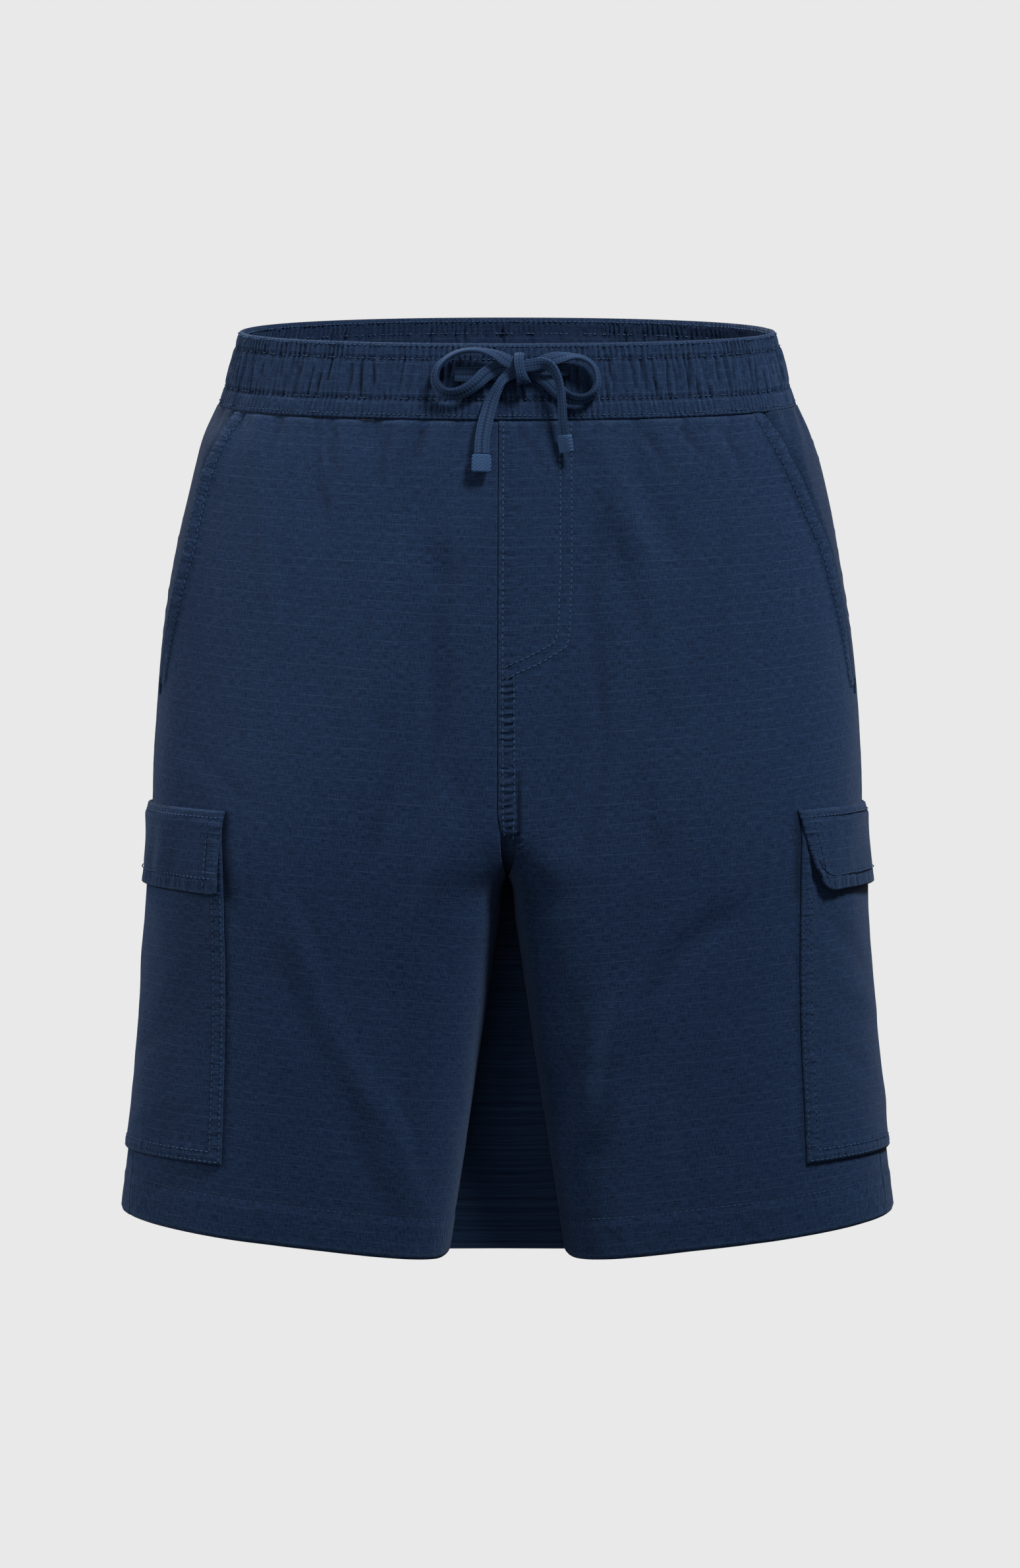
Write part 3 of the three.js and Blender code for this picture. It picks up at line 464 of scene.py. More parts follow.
def make_mesh(name, points, quads, material, uv=None, attributes=None):
    """A mesh object from points in millimetres, with cloth measures as UVs. Its faces are turned outwards."""
    mesh = bpy.data.meshes.new(name)
    a, b, c, d = (points[quads[:, k]] for k in range(4))
    if np.einsum("ij,ij->", a, np.cross(b, c) + np.cross(c, d)) < 0:
        quads = quads[:, ::-1]
    mesh.vertices.add(len(points))
    mesh.vertices.foreach_set("co", (points * MM).astype(np.float32).ravel())
    mesh.loops.add(quads.size)
    mesh.loops.foreach_set("vertex_index", quads.astype(np.int32).ravel())
    mesh.polygons.add(len(quads))
    mesh.polygons.foreach_set("loop_start", 4 * np.arange(len(quads), dtype=np.int32))
    mesh.update(calc_edges=True)
    if uv is not None:
        layer = mesh.uv_layers.new(name="cloth")
        layer.data.foreach_set("uv", (uv[quads.ravel()] * MM).astype(np.float32).ravel())
    for key, values in (attributes or {}).items():
        mesh.attributes.new(key, "FLOAT", "POINT").data.foreach_set("value", values.astype(np.float32))
    mesh.polygons.foreach_set("use_smooth", np.ones(len(quads), bool))
    mesh.set_sharp_from_angle(angle=math.radians(SHARP_ANGLE))
    mesh.materials.append(material)
    made = bpy.data.objects.new(name, mesh)
    bpy.context.scene.collection.objects.link(made)
    return made


def cloth_wall(name, outer, inner, uv, wear_and_shade, joined=False, inner_painted_shade=0.0, **puckers):
    """A wall of cloth from grids of points on its two faces, with closed rims. Inner may have fewer rows."""
    rows, columns = outer.shape[:2]
    inner_rows = inner.shape[0]
    start = rows * columns
    out = np.arange(start).reshape(rows, columns)
    inn = start + np.arange(inner_rows * columns).reshape(inner_rows, columns)
    quads = [grid_quads(rows, columns, 0, joined), grid_quads(inner_rows, columns, start, joined)[:, ::-1],
             rim_quads(out[0], inn[0], joined), rim_quads(out[-1][::-1], inn[-1][::-1], joined)]
    if not joined:
        quads += [rim_quads(out[:, -1], inn[:, -1], False), rim_quads(out[::-1, 0], inn[::-1, 0], False)]
    points = np.concatenate([outer.reshape(-1, 3), inner.reshape(-1, 3)])
    picked = (np.linspace(0, rows - 1, inner_rows) + 1e-6).astype(int)
    uv = np.concatenate([uv.reshape(-1, 2), uv[picked].reshape(-1, 2)])
    plain = np.zeros(inner_rows * columns)
    attributes = {key: np.concatenate([value.ravel(), plain]) for key, value in puckers.items()}
    # Colour marks of each point: lighter where worn, darker where shade is painted; the inner face gets one
    # value.
    attributes["wear_and_shade"] = np.concatenate([wear_and_shade.ravel(), plain + inner_painted_shade])
    return make_mesh(name, points, np.concatenate(quads), NAVY_CLOTH, uv, attributes)


# Materials

class Nodes:
    """Short calls for building a material's nodes."""

    def __init__(self, name):
        self.material = bpy.data.materials.new(name)
        self.material.use_nodes = True
        self.tree = self.material.node_tree
        self.shader = self.tree.nodes["Principled BSDF"]

    def put(self, target, value):
        if isinstance(value, bpy.types.NodeSocket):
            self.tree.links.new(value, target)
        else:
            target.default_value = value

    def math(self, operation, a, b=0.0, c=0.0, clamp=False):
        node = self.tree.nodes.new("ShaderNodeMath")
        node.operation = operation
        node.use_clamp = clamp
        for socket, value in zip(node.inputs, (a, b, c)):
            self.put(socket, value)
        return node.outputs[0]

    def look(self, values):
        """Plain values of the shader's own sockets."""
        for name, value in values.items():
            self.shader.inputs[name].default_value = value

    def times(self, a, b, clamp=False):
        return self.math("MULTIPLY", a, b, clamp=clamp)

    def plus(self, a, b, clamp=False):
        return self.math("ADD", a, b, clamp=clamp)

    def vector(self, x, y):
        node = self.tree.nodes.new("ShaderNodeCombineXYZ")
        for socket, value in zip(node.inputs, (x, y, 0.0)):
            self.put(socket, value)
        return node.outputs[0]

    def noise(self, u, v, wide, high, detail=2.0, rough=0.5):
        """Noise in patches about this wide and high, in millimetres."""
        node = self.tree.nodes.new("ShaderNodeTexNoise")
        node.noise_dimensions = "3D"
        place_in = self.vector(self.math("DIVIDE", u, wide), self.math("DIVIDE", v, high))
        self.put(node.inputs["Vector"], place_in)
        node.inputs["Scale"].default_value = 1.0
        node.inputs["Detail"].default_value = detail
        node.inputs["Roughness"].default_value = rough
        return node.outputs["Fac"]

    def ramp(self, value, start, gain):
        """How far a value is over its start, times a gain, kept from 0 to 1."""
        return self.times(self.math("SUBTRACT", value, start), gain, clamp=True)

    def mix_color(self, share, a, b):
        node = self.tree.nodes.new("ShaderNodeMix")
        node.data_type = "RGBA"
        self.put(node.inputs["Factor"], share)
        self.put(node.inputs[6], a)
        self.put(node.inputs[7], b)
        return node.outputs[2]

    def uv(self):
        """The cloth's own measures in millimetres, as separate numbers."""
        node = self.tree.nodes.new("ShaderNodeUVMap")
        node.uv_map = "cloth"
        split = self.tree.nodes.new("ShaderNodeSeparateXYZ")
        self.tree.links.new(node.outputs[0], split.inputs[0])
        return self.times(split.outputs[0], 1 / MM), self.times(split.outputs[1], 1 / MM)

    def attribute(self, name):
        node = self.tree.nodes.new("ShaderNodeAttribute")
        node.attribute_name = name
        return node.outputs["Fac"]

    def bump(self, height, distance, strength, before=None):
        node = self.tree.nodes.new("ShaderNodeBump")
        node.inputs["Strength"].default_value = strength
        node.inputs["Distance"].default_value = distance
        self.put(node.inputs["Height"], height)
        if before is not None:
            self.tree.links.new(before, node.inputs["Normal"])
        return node.outputs[0]


def lines(n, position, pitch, width):
    """Thin lines at a pitch: 1 on a line and 0 between."""
    share = n.math("FRACT", n.math("DIVIDE", position, pitch))
    away = n.math("ABSOLUTE", n.math("SUBTRACT", share, 0.5))
    return n.math("SUBTRACT", 1.0, n.math("DIVIDE", away, width / pitch), clamp=True)


RIPSTOP_PITCH = 5.4
WEFT_LINE = 0.42
WARP_LINE = 0.4
THREAD_PITCH = 0.42
NAVY = (0.0125, 0.0315, 0.083, 1)
NAVY_LIGHT = (0.034, 0.069, 0.140, 1)
NAVY_DARK = (0.0066, 0.0180, 0.052, 1)
NAVY_HEATHER = (0.0225, 0.053, 0.130, 1)
NAVY_WORN = (0.036, 0.073, 0.142, 1)
# Deep navy painted into hollows, gaps and recesses as shade.
NAVY_PAINTED_SHADE = (0.0035, 0.0085, 0.024, 1)


RIPSTOP_LOOK = {"Roughness": 0.86, "Diffuse Roughness": 0.9, "Specular IOR Level": 0.12, "Sheen Weight": 0.08,
                "Sheen Roughness": 0.45, "Sheen Tint": (0.55, 0.68, 0.9, 1)}
THREAD_RELIEF = 0.00012
CRUMPLE_RELIEF = 0.0006
PUCKER_RELIEF = 0.0018


def ripstop(name):
    """Washed cotton ripstop: a fine plain weave, slightly heavier threads in a grid, worn lighter on its edges
    and crests, and painted shade in its hollows and gaps.
    """
    n = Nodes(name)
    u, v = n.uv()
    drift = n.times(n.noise(u, v, wide=26, high=26), 1.6)
    weft = lines(n, n.plus(v, drift), RIPSTOP_PITCH, WEFT_LINE)
    warp = lines(n, n.plus(u, drift), RIPSTOP_PITCH, WARP_LINE)
    weft_broken = n.ramp(n.noise(u, v, wide=17, high=2.7, detail=1.0), 0.40, 4.0)
    warp_broken = n.ramp(n.noise(u, v, wide=2.7, high=19, detail=1.0), 0.47, 5.0)
    weft_seen = n.times(weft, n.math("MULTIPLY_ADD", weft_broken, 0.75, 0.25))
    warp_seen = n.times(warp, n.times(warp_broken, 0.35))
    slub_level = n.noise(u, v, wide=5, high=0.5, detail=1.0, rough=0.4)
    slub_up = n.noise(u, v, wide=0.5, high=3.5, detail=1.0, rough=0.4)
    heather = n.ramp(n.plus(slub_level, slub_up), 0.75, 2.0)
    cloudy = n.ramp(n.noise(u, v, wide=48, high=60, detail=3.0), 0.35, 1.6)
    wear_and_shade = n.attribute("wear_and_shade")
    worn = n.times(wear_and_shade, n.math("MULTIPLY_ADD", slub_up, 0.9, 0.3), clamp=True)
    color = n.mix_color(heather, NAVY_DARK, NAVY_HEATHER)
    color = n.mix_color(n.times(cloudy, 0.35), color, NAVY)
    color = n.mix_color(n.times(weft_seen, 0.75), color, NAVY_LIGHT)
    color = n.mix_color(n.times(warp_seen, 0.45), color, NAVY_LIGHT)
    color = n.mix_color(worn, color, NAVY_WORN)
    # Painted shade: where the marks go below 0, the cloth darkens towards deep navy.
    color = n.mix_color(n.times(wear_and_shade, -1.0, clamp=True), color, NAVY_PAINTED_SHADE)
    n.put(n.shader.inputs["Base Color"], color)
    thread_u, thread_v = (lines(n, place_in, THREAD_PITCH, THREAD_PITCH / 2) for place_in in (u, v))
    weave = n.times(n.plus(thread_u, thread_v), 0.5)
    raised = n.times(n.plus(weft, warp), 0.7)
    height = n.plus(n.plus(weave, raised), n.times(heather, 0.6))
    normal = n.bump(height, THREAD_RELIEF, 0.55)
    normal = n.bump(n.noise(u, v, wide=5.5, high=5.5, detail=3.0, rough=0.55), CRUMPLE_RELIEF, 0.35, normal)
    down_seam = n.times(n.attribute("pucker_down"), n.noise(u, v, wide=9, high=2.3, detail=1.0))
    along_seam = n.times(n.attribute("pucker_along"), n.noise(u, v, wide=2.3, high=9, detail=1.0))
    n.put(n.shader.inputs["Normal"], n.bump(n.plus(down_seam, along_seam), PUCKER_RELIEF, 0.9, normal))
    n.look(RIPSTOP_LOOK)
    return n.material


# Each yarn's dark colour is painted shade between strands, between the tip's stitches and at the ends of
# stitches; its light colour is the yarn's own blue.
CORD_BLUE = (0.041, 0.086, 0.184, 1)
CORD_DARK = (0.005, 0.013, 0.038, 1)
TIP_BLUE = (0.054, 0.117, 0.245, 1)
TIP_DARK = (0.009, 0.023, 0.063, 1)
THREAD_BLUE = (0.050, 0.100, 0.200, 1)
THREAD_DARK = (0.004, 0.010, 0.028, 1)
YARN_LOOK = {"Roughness": 0.82, "Specular IOR Level": 0.1, "Diffuse Roughness": 0.8}


def yarn(name, dark, light, fine):
    """Cotton yarn with a soft twist: painted shade between its strands and lighter on them, by a point
    attribute.
    """
    n = Nodes(name)
    u, v = n.uv()
    fuzz = n.noise(u, v, wide=fine, high=fine, detail=3.0)
    strand_light = n.times(n.attribute("wear_and_shade"), 0.85)
    share = n.plus(strand_light, n.times(fuzz, 0.35), clamp=True)
    n.put(n.shader.inputs["Base Color"], n.mix_color(share, dark, light))
    n.put(n.shader.inputs["Normal"], n.bump(fuzz, 0.0002, 0.6))
    n.look(YARN_LOOK)
    return n.material


NAVY_CLOTH = ripstop("navy_ripstop_cloth")
CORD_YARN = yarn("navy_cord_yarn", CORD_DARK, CORD_BLUE, 0.5)
TIP_YARN = yarn("cord_tip_yarn", TIP_DARK, TIP_BLUE, 0.4)
THREAD = yarn("sewing_thread_yarn", THREAD_DARK, THREAD_BLUE, 0.3)


def finish_piece(piece, slot, *nodes):
    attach(piece, "root")
    if nodes:
        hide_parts(*nodes)
    return piece


# Drawcord

# Each row: x, distance off the waistband's face, z, half width, half thickness and the turn of the flat side
CORD_RIGHT = (
    (-28.6, 3.0, -3.7, 4.2, 1.2, 0),
    (-19.7, 2.9, -3.7, 4.2, 1.2, 0),
    (-8.9, 2.8, -3.0, 4.0, 1.15, 0),
    (0.1, 2.7, -2.2, 3.6, 1.05, 0),
    (8.0, 2.7, -1.9, 3.5, 1.05, 0),
    (15.1, 2.7, -3.3, 3.6, 1.05, 0),
    (21.6, 2.8, -7.4, 3.9, 1.1, 0),
    (28.0, 4.0, -13.1, 4.2, 1.2, 14),
    (34.5, 6.2, -16.6, 4.4, 1.3, 40),
    (41.6, 7.2, -17.0, 4.4, 1.3, 55),
    (47.0, 8.0, -13.6, 4.4, 1.3, 65),
    (49.2, 8.4, -7.2, 4.4, 1.3, 72),
    (47.4, 8.6, 0.3, 4.4, 1.3, 78),
    (42.4, 8.6, 4.6, 4.4, 1.3, 80),
    (35.9, 8.5, 6.0, 4.3, 1.3, 75),
    (28.7, 8.4, 5.4, 4.0, 1.2, 42),
    (21.6, 8.1, 3.8, 3.6, 1.1, 6),
    (15.1, 7.6, 1.0, 3.5, 1.05, 0),
    (7.9, 7.6, -0.6, 3.5, 1.05, 0),
    (2.4, 7.7, -2.8, 3.6, 1.05, 0),
    (-2.6, 7.6, -7.0, 3.0, 1.2, 26),
    (-6.0, 6.6, -12.6, 3.4, 1.25, 30),
    (-8.9, 5.4, -19.3, 4.0, 1.25, 24),
    (-11.8, 5.2, -29.3, 4.3, 1.25, 12),
    (-13.5, 5.2, -38.6, 4.3, 1.25, 5),
    (-13.9, 5.2, -46.6, 4.3, 1.25, 0),
)
CORD_LEFT = (
    (33.0, 3.0, -1.2, 3.5, 1.1, 0),
    (25.4, 5.7, -1.3, 3.4, 1.05, 0),
    (16.2, 5.25, -1.1, 3.4, 1.05, 0),
    (8.0, 5.15, -0.6, 3.5, 1.05, 0),
    (0.6, 5.2, 0.2, 3.6, 1.05, 0),
    (-5.4, 5.8, -0.3, 3.8, 1.1, 0),
    (-11.4, 7.2, -3.4, 4.2, 1.2, -12),
    (-17.1, 8.4, -8.4, 4.4, 1.25, -28),
    (-23.6, 7.8, -12.8, 4.4, 1.3, -36),
    (-30.4, 7.2, -14.4, 4.4, 1.3, -44),
    (-36.1, 7.2, -12.4, 4.4, 1.3, -54),
    (-39.4, 7.4, -6.8, 4.4, 1.3, -62),
    (-37.9, 7.8, 0.0, 4.4, 1.3, -72),
    (-32.2, 8.2, 5.6, 4.4, 1.3, -80),
    (-24.3, 8.6, 9.0, 4.4, 1.3, -82),
    (-15.0, 9.0, 9.4, 4.3, 1.3, -80),
    (-6.4, 9.6, 7.2, 4.0, 1.2, -60),
    (0.6, 10.1, 3.4, 3.6, 1.1, -16),
    (7.9, 10.05, 0.9, 3.5, 1.05, 0),
    (13.7, 10.2, 1.4, 3.5, 1.05, 0),
    (18.7, 11.2, 2.2, 3.6, 1.1, 18),
    (23.7, 12.6, 0.6, 3.9, 1.15, 45),
    (27.3, 12.6, -5.2, 4.1, 1.2, 60),
    (29.1, 12.2, -12.1, 4.2, 1.25, 66),
    (29.8, 11.4, -20.3, 4.3, 1.25, 64),
    (30.2, 9.4, -29.3, 4.3, 1.25, 60),
    (31.0, 7.6, -36.0, 4.3, 1.25, 50),
)
CORD_STEP = 0.36
CORD_DENSE = 900
CORD_SIDES = 36
CORD_ROUND = 0.8
STRAND_RELIEF = 0.3
STRAND_MIDDLE = 0.7
BRAID_PITCH = 1.8
BRAID_COLUMN = 1.45


def front_point(x, level):
    """Point of the smooth front face at an x and a level, on the waistband and on the panels under it."""
    s = shape_at(np.maximum(level, WAIST_TOP))
    share = np.clip(np.abs(x) / s["half"], 0, 0.95)
    return on_loop(s, -np.arccos(share ** (s["power"] / 2)))


def front_face(x, z):
    """Depth of the front face at a height, found by halving."""
    low, high = np.full(np.shape(x), -25.0), np.full(np.shape(x), 90.0)
    for _ in range(24):
        middle = (low + high) / 2
        above = front_point(x, middle)[..., 2] > z
        low, high = np.where(above, middle, low), np.where(above, high, middle)
    return front_point(x, low)[..., 1]


def spline_rows(rows, share):
    """Smooth curves through rows of numbers, read at shares of the way."""
    rows = np.array(rows, float)
    x = np.asarray(share) * (len(rows) - 1)
    i = np.minimum(x.astype(int), len(rows) - 2)
    f = (x - i)[:, None]
    last = len(rows) - 1
    a, b = rows[np.maximum(i - 1, 0)], rows[i]
    c, d = rows[i + 1], rows[np.minimum(i + 2, last)]
    start = (2 * f**3 - 3 * f**2 + 1) * b + (f**3 - 2 * f**2 + f) * (c - a) / 2
    return start + (3 * f**2 - 2 * f**3) * c + (f**3 - f**2) * (d - b) / 2


def cord_line(rows):
    """Centres of a cord half, evenly spaced, with its half width, half thickness, turn and distance."""
    dense = spline_rows(rows, np.linspace(0, 1, CORD_DENSE))
    points = np.stack([dense[:, 0], front_face(dense[:, 0], dense[:, 2]) - dense[:, 1], dense[:, 2]], -1)
    arcs = arcs_along(points)
    even = np.linspace(0, arcs[-1], int(arcs[-1] / CORD_STEP) + 1)
    pick = lambda values: np.interp(even, arcs, values)
    centres = np.stack([pick(points[:, k]) for k in range(3)], -1)
    return centres, pick(dense[:, 3]), pick(dense[:, 4]), np.radians(pick(dense[:, 5])), even


def flat_sides(centres, turns):
    """Width and thickness directions along a line of centres."""
    tangent = unit(np.gradient(centres, axis=0))
    ahead = np.array([0.0, -1.0, 0.0])
    up = unit(ahead - tangent * (tangent @ ahead)[:, None])
    up = up * np.cos(turns)[:, None] + np.cross(tangent, up) * np.sin(turns)[:, None]
    return np.cross(tangent, up), up


def braid(distance, width_at):
    """Height of a flat braid's strands, from 0 to 1: small leaning strands in columns, turned in pairs."""
    place_in = width_at / BRAID_COLUMN
    cell = np.floor(place_in)
    inside = place_in - cell
    lean = np.where(cell % 2 == 0, inside, 1 - inside)
    strand = np.abs(np.sin(math.pi * (distance / BRAID_PITCH + 0.75 * lean)))
    between = np.sin(math.pi * inside) ** 0.8
    return strand**0.6 * between


def strand(name, centres, sides, half_width, half_thick, distance, relief, material, roundness=CORD_ROUND):
    """A flat cord with a rounded section and closed ends. Relief gives its height by distance and width."""
    across, up = sides
    angle = np.linspace(0, 2 * math.pi, CORD_SIDES, endpoint=False)
    c, s = np.cos(angle), np.sin(angle)
    width_at = signed_power(c, roundness) * half_width[:, None]
    height = relief(distance[:, None], width_at)
    raised = STRAND_RELIEF * (height - STRAND_MIDDLE)
    out_w = width_at + raised * c
    out_t = signed_power(s, 0.75) * half_thick[:, None] + raised * s
    points = centres[:, None] + across[:, None] * out_w[..., None] + up[:, None] * out_t[..., None]
    points = points.reshape(-1, 3)
    rings = np.arange(len(points)).reshape(-1, CORD_SIDES)[[0, -1]]
    hubs = [points[ring].mean(0) for ring in rings]
    uv = np.stack([width_at, np.broadcast_to(distance[:, None], width_at.shape)], -1).reshape(-1, 2)
    uv = np.concatenate([uv, np.zeros((2, 2))])
    quads = grid_quads(len(centres), CORD_SIDES, 0, True)
    # Height of the relief as colour: painted shade in the hollows between strands and stitches.
    attributes = {"wear_and_shade": np.concatenate([height.ravel(), [0.5, 0.5]])}
    made = make_mesh(name, np.concatenate([points, hubs]), quads, material, uv, attributes)
    close_ends(made.data, rings, len(points), uv)
    return made


def close_ends(mesh, rings, first_hub, uv):
    """Fans of triangles from each end's ring to its hub."""
    work = bmesh.new()
    work.from_mesh(mesh)
    work.verts.ensure_lookup_table()
    layer = work.loops.layers.uv["cloth"]
    for hub, ring in enumerate(rings, first_hub):
        for a, b in zip(ring, np.roll(ring, -1)):
            face = work.faces.new([work.verts[int(k)] for k in (a, b, hub)])
            face.smooth = True
            for loop in face.loops:
                loop[layer].uv = uv[loop.vert.index] * MM
    bmesh.ops.recalc_face_normals(work, faces=work.faces)
    work.to_mesh(mesh)
    work.free()


# Each row: distance along the tip, half width and half thickness
TIP_PROFILE = ((0, 4.3, 1.4), (0.5, 4.9, 1.75), (1.2, 5.2, 1.9), (5, 5.4, 2.0), (9, 5.2, 1.9),
               (9.7, 4.8, 1.7), (10.1, 3.6, 1.1))
TIP_STEP = 0.25
TIP_GAP = 0.3
TIP_ROWS = 1.9
TIP_ZIGZAG = 2.4


def tip_stitches(distance, width_at):
    """Zigzag overstitching that closes the cord's end."""
    zigzag = np.abs(np.sin(math.pi * (distance / TIP_ROWS + width_at / TIP_ZIGZAG)))
    other = np.abs(np.sin(math.pi * (distance / TIP_ROWS - width_at / TIP_ZIGZAG)))
    return np.clip(1.4 * zigzag * other + 0.15, 0, 1)


def cord_half(word, rows):
    centres, half_width, half_thick, turns, distance = cord_line(rows)
    cord = strand("drawstring_%s_braid" % word, centres, flat_sides(centres, turns), half_width, half_thick,
                  distance, braid, CORD_YARN)
    finish_piece(cord, "navy_cord", "drawstring_" + word)
    profile = np.array(TIP_PROFILE)
    along = np.arange(0, profile[-1, 0] + TIP_STEP / 2, TIP_STEP)
    tip_width, tip_thick = (np.interp(along, profile[:, 0], profile[:, k]) for k in (1, 2))
    line = centres[-1] + unit(centres[-1] - centres[-3]) * (along + TIP_GAP)[:, None]
    tip_sides = flat_sides(line, np.full(len(along), turns[-1]))
    tip = strand("cord_tip_%s_sewn" % word, line, tip_sides, tip_width, tip_thick, along, tip_stitches,
                 TIP_YARN)
    finish_piece(tip, "cord_tip", "cord_tip_" + word)


cord_half("right", CORD_RIGHT)
cord_half("left", CORD_LEFT)

# Band of the knot: height from the knot's middle and distance off the waistband's face
KNOT_X = 8
KNOT_Z = -0.4
KNOT_HALF_WIDTH = 3.5
KNOT_HALF_THICK = 1.3
KNOT_LEAN = 2.4
KNOT_PATH = ((-6.4, 2.6), (-7.4, 5), (-7.3, 9), (-5.9, 12.2), (-2.8, 13.7), (1, 13.9), (4.8, 13.2),
             (6.9, 10.6), (7.4, 6.5), (6.7, 2.8))


KNOT_STEPS = 110


def knot():
    rows = spline_rows(KNOT_PATH, np.linspace(0, 1, KNOT_STEPS))
    face = float(front_face(np.array([KNOT_X]), np.array([KNOT_Z]))[0])
    centres = np.stack([np.full(KNOT_STEPS, float(KNOT_X)), face - rows[:, 1], KNOT_Z + rows[:, 0]], -1)
    distance = arcs_along(centres)
    across = np.broadcast_to([1.0, 0.0, 0.0], centres.shape)
    up = np.cross(unit(np.gradient(centres, axis=0)), across)
    part = distance / distance[-1]
    half_width = KNOT_HALF_WIDTH * (0.9 + 0.12 * np.sin(2 * math.pi * part + 0.6))
    upward = (centres[:, 2] - KNOT_Z) / KNOT_PATH[-2][0]
    centres[:, 0] += 0.6 - KNOT_LEAN * smooth(0.5 + 0.5 * upward) + 0.5 * np.sin(3 * math.pi * part)
    made = strand("bow_knot_braid", centres, (across, up), half_width, np.full(KNOT_STEPS, KNOT_HALF_THICK),
                  distance, braid, CORD_YARN, 1)
    finish_piece(made, "navy_cord", "bow_knot")


knot()

# Panels

# The hand pocket's mouth: its lower end, and its line as level and distance behind the side seam
POCKET_END = 186.6
POCKET_CLOSED = 191.5
MOUTH = {
    RIGHT: ((22, -52), (46, -50), (75, -44.3), (108, -39.7), (136, -30.4), (158, -21.5), (187, -12.5)),
    LEFT: ((22, -67), (50, -64.5), (79, -53), (108, -38.5), (136, -29.3), (161, -20.5), (187, -13)),
}
MOUTH_GAPE = {RIGHT: 3.6, LEFT: 2.2}
# Centre front seam: level and distance to the wearer's right
FRONT_SEAM = ((22, 4.6), (158, 5.1), (236, 5.1), (244, 3.4), (250, 0))
FRONT_LAP = {RIGHT: -0.5, LEFT: 0.7}
# Rows of stitches: inside the mouth's edge, and above the hem's
MOUTH_ROWS = (1.6, 8.6)
HEM_ROW = 23.0
HEM_THICKER = 0.3
HEM_INSIDE = 0.5
CROTCH_FADE = 34
SQUEEZE = 12.0


def table(rows, position):
    return np.interp(position, [row[0] for row in rows], [row[1] for row in rows])


def front_edge(side, level):
    return -side * table(FRONT_SEAM, level) - SEAM_LAP


def mouth_arc(side, level):
    return side_arc(level) + table(MOUTH[side], level)


def front_side_edge(side, level):
    mouth = table(MOUTH[side], np.minimum(level, POCKET_END))
    return side_arc(level) + np.where(level >= POCKET_CLOSED, SEAM_LAP, mouth)


def gape(side, level, inside):
    near = smooth(1 - inside / 14)
    middle = window(level, 26, 40, 182, 50)
    return np.where(level > POCKET_END, 0, MOUTH_GAPE[side] * near * middle)


def hem_detail(level, arc, seed):
    """The turned-up hem: a sewn row, slanting ripples below it and a rounded edge."""
    up = HEM - level
    roping = pucker(seed, arc + 0.5 * up, up - 11, pitch=17, reach=7.5, height=0.16)
    roping = roping + 0.2 * rumple(seed, arc / 15, up / 12)
    row = groove(up - HEM_ROW, width=1.0, depth=0.45)
    return row + np.where(up < HEM_ROW, HEM_THICKER + roping, 0) + rolled(up, radius=1.0)


def seam_detail(level, away, seed):
    """A plain seam: its edges round down into it and the cloth ripples beside it."""
    ripple = pucker(seed, level, away, pitch=11, reach=5, height=0.4)
    return rolled(away, radius=1.1) + ripple * smooth(away / 1.5)


def fly_puckers(level, edge):
    """Cross ripples between the centre seam and its second row of sewing, strongest above the crotch."""
    low = window(level, RIPPLED[0], 8, 262, 10)
    between = hump(edge - 5.6, 3.7, 4)
    beside = hump(edge - 5.0, 4.6, 4)
    beat = rumple(51, level / 9)
    fine = np.sin(2 * math.pi * level / 3.9 + 2.2 * rumple(52, level / 15) + 0.22 * edge)
    wide = np.sin(2 * math.pi * level / 6.2 + 1.7 * rumple(53, level / 21))
    high = smooth((level - 40) / 30) * (1 - low) * (level < 170)
    return between * (0.5 + 0.2 * beat) * fine * low + 0.32 * beside * (0.6 + 0.4 * beat) * wide * high


# Depth of the hollow above the crotch, by level
SLOT = ((246, 0), (252, 4), (260, 9), (268, 11), (274, 0))


def centre_slot(side, level, arc):
    """The narrow hollow between the legs above the crotch, and the crease that leads down to it."""
    across = arc if side == LEFT else -arc
    hollow = table(SLOT, level) * hump(across - 0.8, 4.1, 6)
    crease = window(level, 205, 25, 262, 10) * hump(across - 5.9, 1.9)
    return -hollow - 1.6 * crease


def front_detail(side):
    def detail(level, arc):
        edge = arc - front_edge(side, level)
        inside = front_side_edge(side, level) - arc
        lift = gape(side, level, inside) + hem_detail(level, arc, 40 + side)
        lift = lift + FRONT_LAP[side] * bell(edge, 3.2) * (level < CROTCH) + rolled(edge, radius=0.9)
        lift = lift + fly_puckers(level, edge) * (side == LEFT) + centre_slot(side, level, arc)
        in_mouth = level <= POCKET_END
        rows = sum(groove(inside - row, width=0.8, depth=0.3) for row in MOUTH_ROWS)
        double = 0.7 * smooth((MOUTH_ROWS[1] + 1.5 - inside) / 2.0)
        ripple = pucker(60 + side, level, inside - 5, pitch=8.5, reach=3.6, height=0.36)
        lift = lift + np.where(in_mouth, rows + double + ripple + rolled(inside, 0.6), 0)
        lift = lift + np.where(in_mouth, 0, seam_detail(level, inside, 64 + side))
        return lift + rolled(level - WAIST_SEAM, 1.6)

    return detail


def back_detail(side):
    def detail(level, arc):
        inside = arc - side_arc(level) + SEAM_LAP
        to_end = total_arc(level) + SEAM_LAP - arc
        lift = seam_detail(level, inside, 70 + side) + seam_detail(level, to_end, 74 + side)
        return lift + hem_detail(level, arc, 44 + side) + rolled(level - WAIST_SEAM, 1.6)

    return detail


